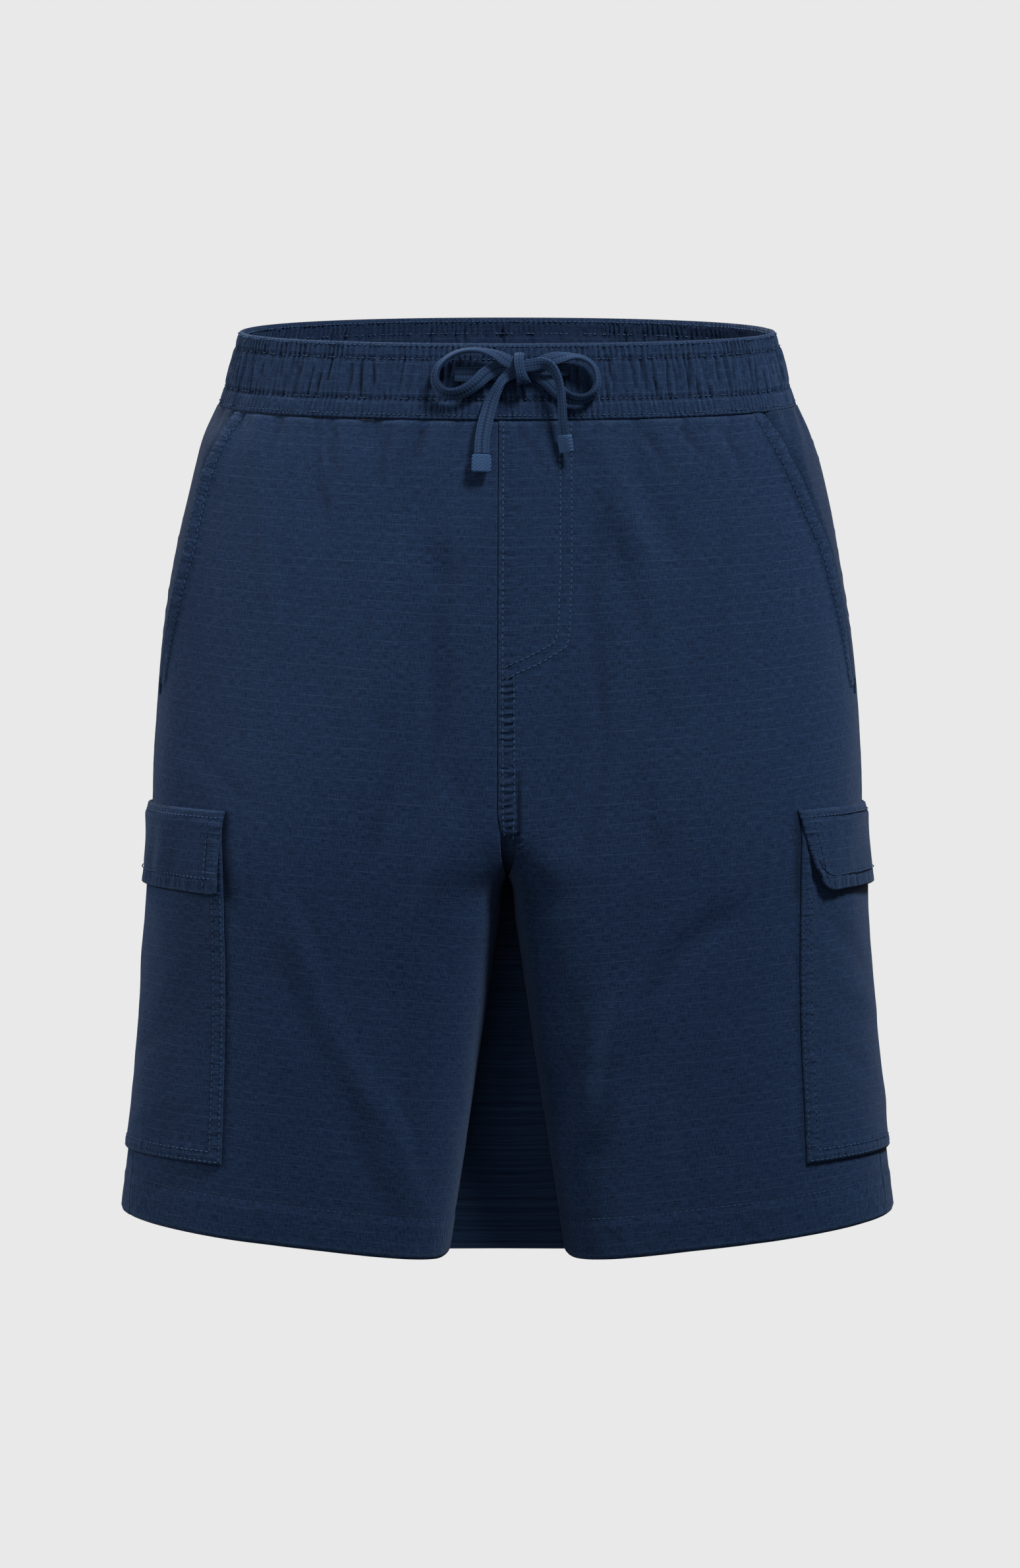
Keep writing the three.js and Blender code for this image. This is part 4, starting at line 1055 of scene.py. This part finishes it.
def front_puckers(side, level, arc):
    """Where sewing ripples the front: beside upright seams, and beside level ones."""
    edge = arc - front_edge(side, level)
    inside = front_side_edge(side, level) - arc
    seam = 0.6 + 0.4 * window(level, RIPPLED[0], 12, 268, 10)
    down = hump(edge - 5, 5.0, 4) * seam * (side == LEFT)
    mouth = np.where(level <= POCKET_END, hump(inside - 5, 5.5, 4), 0.3 * np.exp(-inside / 4))
    return np.maximum(down, 0.75 * mouth), level_puckers(level)


def back_puckers(side, level, arc):
    inside = arc - side_arc(level)
    to_end = total_arc(level) - arc
    return 0.4 * np.exp(-np.minimum(inside, to_end) / 5), level_puckers(level)


def level_puckers(level):
    up = HEM - level
    hem = 0.45 * smooth((HEM_ROW + 4 - up) / 6)
    return np.maximum(hem, 0.55 * np.exp(-(level - WAIST_SEAM) / 9))


def past_midline(levels, ending):
    """Arc of each row's section past the midline, which joins the leg's inner side below the crotch."""
    s = shape_at(levels)
    first, last = (s["end"], math.pi) if ending else (-math.pi, s["start"])
    points = on_loop(s, mix(first, last, FINE_SHARES[None, :]))
    hidden = np.linalg.norm(np.diff(points, axis=1), axis=2).sum(axis=1)[:, None]
    return hidden * smooth((levels - CROTCH + CROTCH_FADE) / CROTCH_FADE) * (levels < CROTCH)


def panel_arcs(levels, first, last, ending):
    """A panel's columns by row. They don't slide at the crotch: the spare ones are close at the midline."""
    spare = past_midline(levels, ending)
    width = last(levels) - first(levels)
    widest = float(np.max(width + spare))
    step = BACK_STEP if ending else FRONT_STEP
    away = spread(0, 1, step / widest)[None, :] * (width + spare)
    plain = width - SQUEEZE
    squeezed = plain + (away - plain) * SQUEEZE / (spare + SQUEEZE)
    away = np.where(away > plain, squeezed, away)
    return first(levels) + away if ending else (last(levels) - away)[:, ::-1]


def pocket_shade(side, behind, level):
    """Painted shade on the cloth close beside a cargo pocket and its flap."""
    p = PATCH[side]
    across = behind - p["behind"]
    down = level - p["level"] - p["lean_across"] * np.clip(across, 0, PATCH_WIDTH)
    across = across - p["lean_down"] * down
    beside = np.maximum(-across, across - PATCH_WIDTH)
    flap = window(down, -1, 2, FLAP_HEIGHT + 6, 8)
    reach = 0.9 + 2.2 * flap
    inside = window(down, -0.5, 2, PATCH_HEIGHT + 2, 3)
    return (0.3 + 0.4 * flap) * inside * hump(np.maximum(beside, 0), reach)


def panel(name, side, first, last, detail, puckers, node):
    in_front = node.startswith("front")
    levels = PANEL_ROWS.get(node, PANEL_ROWS["back"])[:, None]
    arc = panel_arcs(levels, first, last, not in_front)
    level = np.broadcast_to(levels, arc.shape)
    outer = place(side, level, arc, 0.0, detail)
    thick = CLOTH + HEM_INSIDE * smooth((level - (HEM - HEM_ROW)) / 2)
    inner = place(side, level, arc, -thick, lambda l, a: 0.5 * np.minimum(detail(l, a), 0.6))
    above = levels[:, 0] < CROTCH
    for grid in (outer, inner):
        grid[above, 0 if in_front else -1, 0] = -table(FRONT_SEAM, levels[above, 0]) * in_front
    down, along = puckers(side, level, arc)
    uv = np.stack([arc - side_arc(level), level], -1)
    edge = np.minimum(arc - first(levels), last(levels) - arc)
    behind = np.abs(arc) - side_arc(level)
    lift = detail(level, arc) + ridge(CREASES, side, behind, level) + gathers(side, np.abs(arc), level)
    seam_wear, hem_wear = 0.12 * np.exp(-edge / 1.6), 0.35 * np.exp(-(HEM - level) / 1.5)
    # Worn seam and hem edges and worn crests, lighter; painted shade in hollows and beside the cargo pockets.
    wear_and_shade = seam_wear + hem_wear + shade(lift) - pocket_shade(side, behind, level)
    # Painted shade in the hollow and crease above the crotch.
    wear_and_shade = wear_and_shade + 0.09 * centre_slot(side, level, arc) * in_front
    made = cloth_wall(name, outer, inner, uv, wear_and_shade, pucker_down=down, pucker_along=along)
    finish_piece(made, "navy_ripstop", node)


def panels():
    for side, word in SIDES:
        panel("front_%s_cloth" % word, side, lambda l: front_edge(side, l),
              lambda l: front_side_edge(side, l), front_detail(side), front_puckers, "front_" + word)
        panel("back_%s_cloth" % word, side, lambda l: side_arc(l) - SEAM_LAP,
              lambda l: total_arc(l) + SEAM_LAP, back_detail(side), back_puckers, "back_" + word)


# Hand pocket facings

# How far the facing starts behind the mouth's edge, is tucked under the front, and rises to the back's face
FACING_START = 0.6
FACING_TUCK = 9
FACING_RISE = 12
FACING_DEEP = 2.0
FACING_TAIL = 6
FACING_DIVE = 5
UNDER = CLOTH + 0.65


def facings():
    for side, word in SIDES:
        levels = spread(WAIST_SEAM - SEAM_LAP, POCKET_CLOSED + FACING_TAIL, 2.2)[:, None]
        mouth = mouth_arc(side, levels)
        seam = side_arc(levels) + SEAM_LAP
        shares = spread(0, 1, 0.035)[None, :]
        behind = mix(FACING_START - FACING_TUCK, seam - mouth, shares)
        level = np.broadcast_to(levels, behind.shape)
        rise = smooth((behind - FACING_START) / np.minimum(FACING_RISE, seam - mouth - FACING_START))
        rise = rise * smooth((POCKET_END - level) / FACING_DIVE)
        to_seam = seam - mouth - behind
        detail = lambda l, a: rolled(to_seam, 1.1) + 0 * l
        deep = FACING_DEEP * window(level, 30, 40, 182, 30)
        off = -(UNDER + deep) * (1 - rise)
        outer = place(side, level, mouth + behind, off, detail)
        inner = place(side, level, mouth + behind, off - CLOTH)
        uv = np.stack([behind + mouth - side_arc(level), level], -1)
        # Painted shade: the facing darker all over, and darkest where it tucks under the front's mouth edge.
        wear_and_shade = -0.25 - 0.5 * hump(np.maximum(behind, 0), 3.6)
        made = cloth_wall("pocket_facing_%s_cloth" % word, outer, inner, uv, wear_and_shade)
        finish_piece(made, "navy_ripstop", "pocket_facing_" + word)


# Cargo pockets and flaps

# Upper front corner of each pocket, behind the side seam and down, and its slopes
PATCH = {
    RIGHT: {"behind": -89.5, "level": 246.5, "lean_down": 0.056, "lean_across": 0.058},
    LEFT: {"behind": -83.5, "level": 246.8, "lean_down": 0.067, "lean_across": 0.058},
}
PATCH_WIDTH = 156
PATCH_HEIGHT = 198
POCKET_TOP = 8.5
POCKET_INSET = 1.8
PATCH_GAP = 0.55
PATCH_CLOTH = 1.1
POCKET_BULGE = 0.5
PATCH_STEP = 1.8
POCKET_ROWS = (1.5, 7.0)
POCKET_SHIFT = 300
FLAP_CLOTH = 1.3
FLAP_HEIGHT = 46
FLAP_CLEAR = 0.4
FLAP_SHIFT = 600
FLAP_STEP = 1.3
# Slope of the flap's upright edges: share of the height and inset
FLAP_FRONT = {
    RIGHT: ((0, 0), (0.2, 0.4), (0.3, 1.8), (0.55, 2.6), (1, 2.4)),
    LEFT: ((0, 0), (0.31, 2.0), (0.46, 4.0), (0.85, 8.2), (1, 12.0)),
}
# Reach and depth of the flap's rounded lower corners
FLAP_CORNER = {RIGHT: (5, 1.6), LEFT: (15, 9)}
FLAP_TOP_ROW = 4.0
FLAP_EDGE_ROW = 8.5
FLAP_BAND_ROW = 9.0


def on_patch(side, across, down, off, detail=None):
    p = PATCH[side]
    level = np.minimum(p["level"] + down + p["lean_across"] * across, HEM)
    arc = side_arc(level) + p["behind"] + across + p["lean_down"] * down
    fixed = None if detail is None else (lambda l, a: detail)
    return place(side, level, arc, off, fixed)


def pocket_outer(across, down):
    share = np.clip(across / PATCH_WIDTH, 0, 1)
    drop = np.clip(down / PATCH_HEIGHT, 0, 1)
    bulge = np.sin(math.pi * share) * np.sin(math.pi * np.minimum(1, 0.25 + 0.75 * drop))
    return PATCH_GAP + PATCH_CLOTH + POCKET_BULGE * bulge


# Creases on the pockets, by leg: ends as across and down, half width and height
POCKET_CREASES = {
    RIGHT: (
        (20, 70, 60, 110, 6, 0.6), (40, 120, 96, 150, 5, -0.6), (90, 70, 130, 120, 6, 0.7),
        (24, 160, 80, 178, 5, 0.5),
    ),
    LEFT: (
        (20, 60, 70, 96, 5, -0.8), (30, 96, 88, 120, 5, 0.8), (12, 128, 60, 150, 4, -0.6),
        (60, 150, 110, 176, 6, 0.7), (96, 60, 130, 110, 6, -0.6),
    ),
}


def finish_patch(stem, word, outer, inner, across, down, shift, wear_and_shade, pucker_down, pucker_along):
    """Shared end of a pocket and its flap. The shift keeps their weave from running on from each other's."""
    uv = np.stack([across + shift, down + shift], -1)
    made = cloth_wall("%s_%s_cloth" % (stem, word), outer, inner, uv, wear_and_shade, pucker_down=pucker_down,
                      pucker_along=pucker_along)
    finish_piece(made, "navy_ripstop", "%s_%s" % (stem, word))


def cargo_pocket(side, word):
    across = spread(POCKET_INSET, PATCH_WIDTH - POCKET_INSET, PATCH_STEP)[None, :]
    down = spread(POCKET_TOP, PATCH_HEIGHT, PATCH_STEP)[:, None]
    across, down = np.broadcast_arrays(across, down)
    to_side = np.minimum(across - POCKET_INSET, PATCH_WIDTH - POCKET_INSET - across)
    to_low = PATCH_HEIGHT - down
    edge = np.minimum(to_side, to_low)
    rows = sum(groove(edge - row, width=0.8, depth=0.3) for row in POCKET_ROWS)
    sewn = 0.35 * smooth((POCKET_ROWS[1] + 1.5 - edge) / 2)
    ripple = pucker(80 + side, np.where(to_side < to_low, down, across), edge - 4.5, pitch=8, reach=3.2,
                    height=0.28)
    crease = ridge(POCKET_CREASES, side, across, down) * smooth((edge - 4) / 12)
    detail = rows + sewn + ripple + crease + rolled(edge, 1.0)
    off = pocket_outer(across, down)
    outer = on_patch(side, across, down, off, detail)
    inner = on_patch(side, across, down, off - PATCH_CLOTH)
    wear_and_shade = 0.3 * np.exp(-edge / 1.2) + shade(detail)
    beside = 0.7 * hump(edge - 4.5, 5, 4)
    upright = to_side < to_low
    finish_patch("cargo_pocket", word, outer, inner, across, down, POCKET_SHIFT, wear_and_shade, beside * upright,
                 beside * ~upright)


def flap_lower(side, across):
    reach, depth = FLAP_CORNER[side]
    to_end = np.minimum(across, PATCH_WIDTH - across) - table(FLAP_FRONT[side], 1)
    short = np.clip(1 - to_end / reach, 0, 1)
    return FLAP_HEIGHT - depth * (1 - np.sqrt(1 - short * short))


def flap_inner(across, down):
    over = pocket_outer(across, down) + FLAP_CLEAR
    return mix(PATCH_GAP, over, smooth(down / (POCKET_TOP - 1)))


def flap_grid(side, share, part):
    inset = table(FLAP_FRONT[side], part)
    across = mix(inset, PATCH_WIDTH - inset, share)
    return across, part * flap_lower(side, across), inset


def flap_lift(across, down, to_side, to_low):
    """How far the flap stands off its pocket: most at its lower corners, unevenly along its lower edge."""
    free = smooth((down - 9) / 30)
    corner = hump(np.maximum(to_side, 0), 14) * hump(np.maximum(to_low, 0), 16)
    wave = 0.5 + 0.5 * np.sin(across / 11.0 + 0.8)
    return free * (1.1 + 0.9 * wave) + 1.5 * free * corner


def pocket_flap(side, word):
    share = spread(0, PATCH_WIDTH, PATCH_STEP)[None, :] / PATCH_WIDTH
    part = spread(0, FLAP_HEIGHT, FLAP_STEP)[:, None] / FLAP_HEIGHT
    share, part = np.broadcast_arrays(share, part)
    across, down, inset = flap_grid(side, share, part)
    to_side = np.minimum(across - inset, PATCH_WIDTH - inset - across)
    to_low = flap_lower(side, across) - down
    grooves = ((down - FLAP_TOP_ROW, 0.3), (to_side - FLAP_EDGE_ROW, 0.2), (to_low - FLAP_BAND_ROW, 0.18))
    rows = sum(groove(away, width=0.8, depth=depth) for away, depth in grooves)
    edge = np.minimum(to_side, to_low)
    ripple = pucker(90 + side, np.where(to_side < to_low, down, across), edge - 4, pitch=8.5, reach=3.5,
                    height=0.3)
    soft = 0.8 * rumple(97 + side, across / 13, down / 30) * smooth(edge / 6)
    detail = rows + ripple + soft + rolled(edge, 1.1) + rolled(down, 0.9)
    off = flap_inner(across, down) + flap_lift(across, down, to_side, to_low)
    outer = on_patch(side, across, down, off + FLAP_CLOTH, detail)
    inner = on_patch(side, across, down, off)
    wear_and_shade = 0.35 * np.exp(-edge / 1.2) + 0.25 * np.exp(-down / 1.5) + shade(detail)
    beside = 0.8 * hump(edge - 4.5, 6, 4)
    upright = to_side < to_low
    finish_patch("pocket_flap", word, outer, inner, across, down, FLAP_SHIFT, wear_and_shade, beside * upright,
                 np.maximum(beside * ~upright, 0.6 * np.exp(-down / 7)))


def pockets():
    for side, word in SIDES:
        cargo_pocket(side, word)
        pocket_flap(side, word)


# Waistband

# The band's wide upright creases, the profile of one, and its rows of stitches by level
CREASE_COUNT = 54
BAND_THICK = 4
CREASE_PROFILE = ((0, -0.75), (0.36, 0.75), (0.7, 0.6), (1, -0.75))
BAND_ROWS = (-16.8, -9.8, 11.9, 20.9)
BAND_GROOVES = (0.3, 0.85, 0.85, 0.6)
BAND_COLUMNS = 1400
BAND_STEP = 1.1
BAND_INNER_STEP = 3.4
BAND_SHIFT = 900
BAND_LENGTH = 960
BAND_STITCH = 3.0
SLIT_LEFT = 35.8
SLIT_RIGHT = 29.8
SLIT_WIDTH = 0.9
PINCH_PITCH = 7.6


def crease_starts():
    k = np.arange(CREASE_COUNT + 1)
    at = (k + 0.28 * np.sin(k * 2.4) + 0.18 * np.sin(k * 5.1 + 1)) / CREASE_COUNT
    at[-1] = at[0] + 1
    return at


def crease_height(share):
    """Uneven upright creases around the band, as on its solid: rounded ridges and narrower valleys."""
    starts = crease_starts()
    at = (share - starts[0]) % 1 + starts[0]
    k = np.clip(np.searchsorted(starts, at, side="right") - 1, 0, CREASE_COUNT - 1)
    part = (at - starts[k]) / (starts[k + 1] - starts[k])
    xs, ys = np.array(CREASE_PROFILE).T
    i = np.clip(np.searchsorted(xs, part, side="right") - 1, 0, len(xs) - 2)
    f = smooth((part - xs[i]) / (xs[i + 1] - xs[i]))
    return mix(ys[i], ys[i + 1], f) * (0.75 + 0.25 * np.sin(k * 1.7))


def pinches(level, arc, length):
    """Narrow pinched creases in the elastic's channel, each with its own lean, reach and depth."""
    rng = np.random.default_rng(17)
    top, low = BAND_ROWS[1], BAND_ROWS[2]
    height = np.zeros(np.broadcast(level, arc).shape)
    for k in range(int(BAND_LENGTH / PINCH_PITCH)):
        at = (k + rng.uniform(-0.42, 0.42)) * PINCH_PITCH
        lean, bend = rng.uniform(-0.14, 0.14), rng.uniform(-0.9, 0.9)
        reach, depth = rng.uniform(0.35, 1.0), rng.uniform(0.35, 1.15)
        width = rng.uniform(0.6, 1.5)
        from_top = rng.uniform() < 0.5
        part = (level - top) / (low - top)
        part = part if from_top else 1 - part
        ends = smooth((part + 0.12) / 0.14) * smooth((reach - part) / 0.3 + 0.5)
        line = at + lean * (level - top) + bend * np.sin(math.pi * np.clip(part, 0, 1))
        away = (arc - line + length / 2) % length - length / 2
        lit = 0.45 * bell(away - 2.3, 1.5)
        height += depth * ends * (lit - bell(away, width))
    return height


def cord_slits(level, share):
    """The two upright slits that the cord's halves come out of."""
    arc = np.where(share < 0.5, share, share - 1) * BAND_LENGTH
    away = np.minimum(np.abs(arc - SLIT_LEFT), np.abs(arc + SLIT_RIGHT))
    return hump(away, SLIT_WIDTH) * window(level, -10.5, 1, 6, 1)


def band_relief(level, share, total):
    length = 2 * float(np.mean(total))
    arc = share * length
    channel = np.sin(math.pi * np.clip((level - BAND_ROWS[1]) / (BAND_ROWS[2] - BAND_ROWS[1]), 0, 1))
    height = (0.8 * crease_height(share) + 0.5) * channel**0.6 + 1.45 * pinches(level, arc, length)
    fine = np.sin(2 * math.pi * share * round(length / 3.3) + 3.4 * rumple(6, arc / 13))
    fine = fine * (0.55 + 0.45 * rumple(7, arc / 6, level / 20))
    low_band = smooth((level - BAND_ROWS[2]) / 3)
    height = height + (0.75 - 0.35 * low_band) * fine * (1 - 0.85 * channel) * (
        smooth((level - WAIST_TOP) / 2.5 + 0.2))
    pits = 0.7 + 0.3 * np.cos(2 * math.pi * share * round(length / BAND_STITCH))
    for row, depth in zip(BAND_ROWS, BAND_GROOVES):
        height = height + groove(level - row, 0.9, depth) * pits
    height = height - 0.7 * cord_slits(level, share)
    below = smooth((level - BAND_ROWS[2]) / 2)
    edges = rolled(level - WAIST_TOP, radius=1.6) + rolled(WAIST_SEAM + SEAM_LAP - level, radius=1.4)
    return height + 0.35 * below + edges


def band_inside(relief):
    """Distance of the band's inner face, which answers the outer one's relief."""
    return -BAND_THICK + 0.4 - 1.1 * relief


def on_band(level, share, off):
    turn = share % 1
    total = total_arc(level)
    side = np.where(turn < 0.5, LEFT, RIGHT)
    arc = 2 * total * np.where(turn < 0.5, turn, 1 - turn)
    point, normal = base(level, np.minimum(arc, total))
    point = point + normal * np.broadcast_to(off, arc.shape)[..., None]
    point[..., 0] *= side
    return point


def waistband():
    levels = spread(WAIST_TOP, WAIST_SEAM + SEAM_LAP, BAND_STEP, 0.3)[:, None]
    share = (np.arange(BAND_COLUMNS) / BAND_COLUMNS)[None, :]
    level, share = np.broadcast_arrays(levels, share)
    total = total_arc(level)
    relief = band_relief(level, share, total)
    outer = on_band(level, share, relief)
    inner_levels = spread(WAIST_TOP, WAIST_SEAM + SEAM_LAP, BAND_INNER_STEP, 0.3)[:, None]
    in_level, in_share = np.broadcast_arrays(inner_levels, share[:1])
    inner = on_band(in_level, in_share, band_inside(band_relief(in_level, in_share, total_arc(in_level))))
    around = np.where(share < 0.5, share, share - 1) * BAND_LENGTH
    uv = np.stack([around, level], -1) + BAND_SHIFT
    # Worn top edge, lighter; painted shade in the cord's slits.
    wear_and_shade = 0.3 * np.exp(-(level - WAIST_TOP) / 1.4) - 1.1 * cord_slits(level, share)
    wear_and_shade = wear_and_shade + shade(relief, crest=0.45, hollow=1.2, reach=3, joined=True)
    in_channel = window(level, BAND_ROWS[1], 5, BAND_ROWS[2], 5)
    # The band's inner face gets painted shade.
    made = cloth_wall("waistband_cloth", outer, inner, uv, wear_and_shade, joined=True, inner_painted_shade=-0.3,
                      pucker_along=0.9 - 0.5 * in_channel)
    finish_piece(made, "navy_ripstop", "waistband")


# Sewing

STITCH_PITCH = 3.3
STITCH_LENGTH = 2.5
STITCH_RADIUS = 0.36
STITCH_OFF = 0.12
STITCH_DIP = 0.4
BAND_STITCH_LENGTH = 2.2
# Sections of a stitch: place along it and radius, as shares
SPINDLE = ((-0.62, 0.7), (-0.3, 1.0), (0.3, 1.0), (0.62, 0.7))


class Sewing:
    """Collects rows of stitches as small spindles that lie along lines on the cloth."""

    def __init__(self):
        self.rows = []

    def row(self, line, normals, pitch=STITCH_PITCH, length=STITCH_LENGTH):
        arcs = arcs_along(line)
        count = int(arcs[-1] / pitch)
        at = (np.arange(count) + 0.5) * arcs[-1] / count
        pick = lambda values, where: np.stack([np.interp(where, arcs, values[:, k]) for k in range(3)], -1)
        along = unit(pick(line, at + 0.6) - pick(line, at - 0.6))
        up = pick(normals, at)
        up = unit(up - along * np.sum(up * along, 1, keepdims=True))
        self.rows.append((pick(line, at), along, up, np.full(count, length)))

    def build(self, name):
        middle, along, up, length = (np.concatenate(part) for part in zip(*self.rows))
        shape = np.array([(x, r * c, r * s - (STITCH_DIP if abs(x) > 0.5 else 0))
                          for x, r in SPINDLE for c, s in ((1, 0), (0, 1), (-1, 0), (0, -1))])
        points = (
            middle[:, None]
            + along[:, None] * (shape[None, :, 0] * length[:, None])[..., None]
            + np.cross(along, up)[:, None] * (STITCH_RADIUS * shape[None, :, 1])[..., None]
            + up[:, None] * (STITCH_RADIUS * shape[None, :, 2])[..., None]
        )
        one = np.concatenate([grid_quads(4, 4, 0, True), [[3, 2, 1, 0], [12, 13, 14, 15]]])
        quads = (one[None] + len(shape) * np.arange(len(middle))[:, None, None]).reshape(-1, 4)
        uv = np.tile(shape[:, :2] * (2.4, 1), (len(middle), 1))
        # Painted shade at each stitch's ends, where it dips into the cloth; the thread's own lighter blue
        # along its middle.
        wear_and_shade = np.tile(np.where(np.abs(shape[:, 0]) > 0.5, -0.6, 0.8), len(middle))
        return make_mesh(name, points.reshape(-1, 3), quads, THREAD, uv, {"wear_and_shade": wear_and_shade})


def fine_line(first, last, step=1.5):
    return np.linspace(first, last, max(3, int(abs(last - first) / step)))


def sew_panel(sewing, side, detail, level, arc):
    """A row of stitches on a panel, by its levels and arcs."""
    _, normal = base(level, np.abs(arc))
    normal[..., 0] *= np.where(arc < 0, -side, side)
    sewing.row(place(side, level, arc, STITCH_OFF, detail), normal)


def sew_sides(sewing, side):
    """Rows at the pocket mouth and along the hem, front and back."""
    detail = front_detail(side)
    mouth = fine_line(WAIST_SEAM + 3, POCKET_END - 3)
    for inset in MOUTH_ROWS:
        sew_panel(sewing, side, detail, mouth, front_side_edge(side, mouth) - inset)
    seam, end = float(side_arc(HEM)), float(total_arc(HEM))
    for first, last, hem in ((0, seam, detail), (seam, end, back_detail(side))):
        arc = fine_line(first + 1.5, last - 1.5)
        sew_panel(sewing, side, hem, np.full(len(arc), HEM - HEM_ROW), arc)


# Rows of the fly's J and beside the centre seam, as level and arc
J_ROWS = (
    ((24, 28.8), (66, 28.9), (110, 28.9), (135, 27.9), (142, 27.4), (146, 25.8), (148, 23), (151, 17),
     (154, 10.5), (157, 2.4), (159, -2.4)),
    ((24, 34.8), (66, 35.1), (110, 35.1), (137, 34.0), (145, 33.6), (149, 32), (152, 27.4), (155.5, 21.5),
     (159, 14), (162, 5), (165.5, -1.1)),
)
CENTRE_ROWS = (((24, -2.0), (80, -2.3), (158, -2.6), (200, -2.6), (240, -2.4), (252, -1.2)),
               ((163, 3.4), (200, 3.7), (230, 3.8), (252, 3.0)))


FLY_POINTS = 220


def sew_fly(sewing):
    detail = front_detail(LEFT)
    for rows in J_ROWS + CENTRE_ROWS:
        part = np.linspace(0, len(rows) - 1, FLY_POINTS)
        level, arc = (np.interp(part, np.arange(len(rows)), values) for values in np.array(rows).T)
        sew_panel(sewing, LEFT, detail, level, arc)


def sew_patch(sewing, side):
    def row(across, down, off):
        line = on_patch(side, across, down, off)
        normal = on_patch(side, across, down, off + 1.0) - line
        sewing.row(line, normal)

    low, high = POCKET_INSET, PATCH_WIDTH - POCKET_INSET
    for inset in POCKET_ROWS:
        down = fine_line(POCKET_TOP + 40, PATCH_HEIGHT - inset)
        for across in (low + inset, high - inset):
            fixed = np.full(len(down), across)
            row(fixed, down, pocket_outer(fixed, down) + 0.15)
        across = fine_line(low + inset, high - inset)
        fixed = np.full(len(across), PATCH_HEIGHT - inset)
        row(across, fixed, pocket_outer(across, fixed) + 0.15)

    def flap_row(across, down, inset):
        to_side = np.minimum(across - inset, PATCH_WIDTH - inset - across)
        lift = flap_lift(across, down, to_side, flap_lower(side, across) - down)
        row(across, down, flap_inner(across, down) + lift + FLAP_CLOTH + 0.1)

    across = fine_line(3, PATCH_WIDTH - 3)
    flap_row(across, np.full(len(across), FLAP_TOP_ROW), 0 * across)
    part = np.linspace(0.12, 0.98, 40)
    inset = table(FLAP_FRONT[side], part)
    for across in (inset + FLAP_EDGE_ROW, PATCH_WIDTH - inset - FLAP_EDGE_ROW):
        flap_row(across, part * flap_lower(side, across), inset)
    inset = float(table(FLAP_FRONT[side], 0.8))
    across = fine_line(inset + 3, PATCH_WIDTH - inset - 3)
    flap_row(across, flap_lower(side, across) - FLAP_BAND_ROW, inset)


def sew_band(sewing):
    """Four rows outside, and the upper two inside as well."""
    share = np.linspace(0, 1, BAND_COLUMNS)
    for level, out in [(level, 1) for level in BAND_ROWS] + [(level, -1) for level in BAND_ROWS[:2]]:
        levels = np.full(len(share), level)
        relief = band_relief(levels, share, total_arc(levels))
        face = relief if out > 0 else band_inside(relief)
        line = on_band(levels, share, face + STITCH_OFF * out)
        normals = on_band(levels, share, face + out) - line
        sewing.row(line, normals, pitch=BAND_STITCH, length=BAND_STITCH_LENGTH)


def sew_all():
    sewing = Sewing()
    for side, _ in SIDES:
        sew_sides(sewing, side)
        sew_patch(sewing, side)
    sew_fly(sewing)
    sew_band(sewing)
    finish_piece(sewing.build("sewing_thread"), "navy_ripstop")


panels()
facings()
pockets()
waistband()
sew_all()

# Studio

BACKDROP = (0.8148, 0.8148, 0.8148, 1)
ROOM_RADIUS = 8000
ROOM_GRID = (33, 64)
WORLD_COLOR = (0.95, 0.97, 1.0, 1)
WORLD_STRENGTH = 0.06
# Each light: name, azimuth and elevation in degrees, distance and size in metres, and power
LIGHTS = (
    ("key_light", 37, 52, 2.6, 0.5, 62.0),
    ("fill_light", -14, 12, 3.2, 2.2, 15.0),
    ("left_edge_light", -80, 25, 2.4, 1.2, 32.0),
    ("back_key_light", 205, 40, 2.8, 1.0, 42.0),
    ("back_fill_light", 152, 14, 3.2, 1.6, 16.0),
)


def backdrop_paper():
    """Evenly lit pale paper: it shows one tone and takes no shadow."""
    n = Nodes("pale_floor_paper")
    n.look({"Base Color": (0, 0, 0, 1), "Roughness": 1.0, "Specular IOR Level": 0.0,
            "Emission Color": BACKDROP, "Emission Strength": 1.0})
    return n.material


def studio():
    """A round room of pale paper, with a key light from the right, wide fills, and soft light behind."""
    rings, columns = ROOM_GRID
    rise = np.linspace(-89.9, 89.9, rings)[:, None]
    turn = np.linspace(0, 360, columns, endpoint=False)[None, :]
    rise, turn = np.broadcast_arrays(np.radians(rise), np.radians(turn))
    level_out = np.cos(rise)
    points = ROOM_RADIUS * np.stack([level_out * np.cos(turn), level_out * np.sin(turn), np.sin(rise)], -1)
    points = points + np.array(CAMERA_LOOK)
    quads = grid_quads(rings, columns, 0, True)
    room = make_mesh("pale_floor", points.reshape(-1, 3), quads, backdrop_paper())
    room.visible_diffuse = False
    room.visible_glossy = False
    room.visible_shadow = False
    for light in LIGHTS:
        add_light(*light)
    world = bpy.data.worlds.new("studio_world")
    world.use_nodes = True
    background = world.node_tree.nodes["Background"].inputs
    background[0].default_value = WORLD_COLOR
    background[1].default_value = WORLD_STRENGTH
    bpy.context.scene.world = world
    bpy.context.scene.view_settings.view_transform = "Standard"


def add_light(name, azimuth, elevation, distance, size, power):
    """A square soft light facing the garment. Azimuth 0 is the camera's side, 90 the picture's right."""
    data = bpy.data.lights.new(name, "AREA")
    data.size = size
    data.energy = power
    light = bpy.data.objects.new(name, data)
    light.visible_camera = False
    a, e = math.radians(azimuth), math.radians(elevation)
    away = Vector((math.sin(a) * math.cos(e), -math.cos(a) * math.cos(e), math.sin(e)))
    light.location = Vector(CAMERA_LOOK) * MM + away * distance
    light.rotation_euler = (-away).to_track_quat("-Z", "Y").to_euler()
    bpy.context.scene.collection.objects.link(light)


studio()
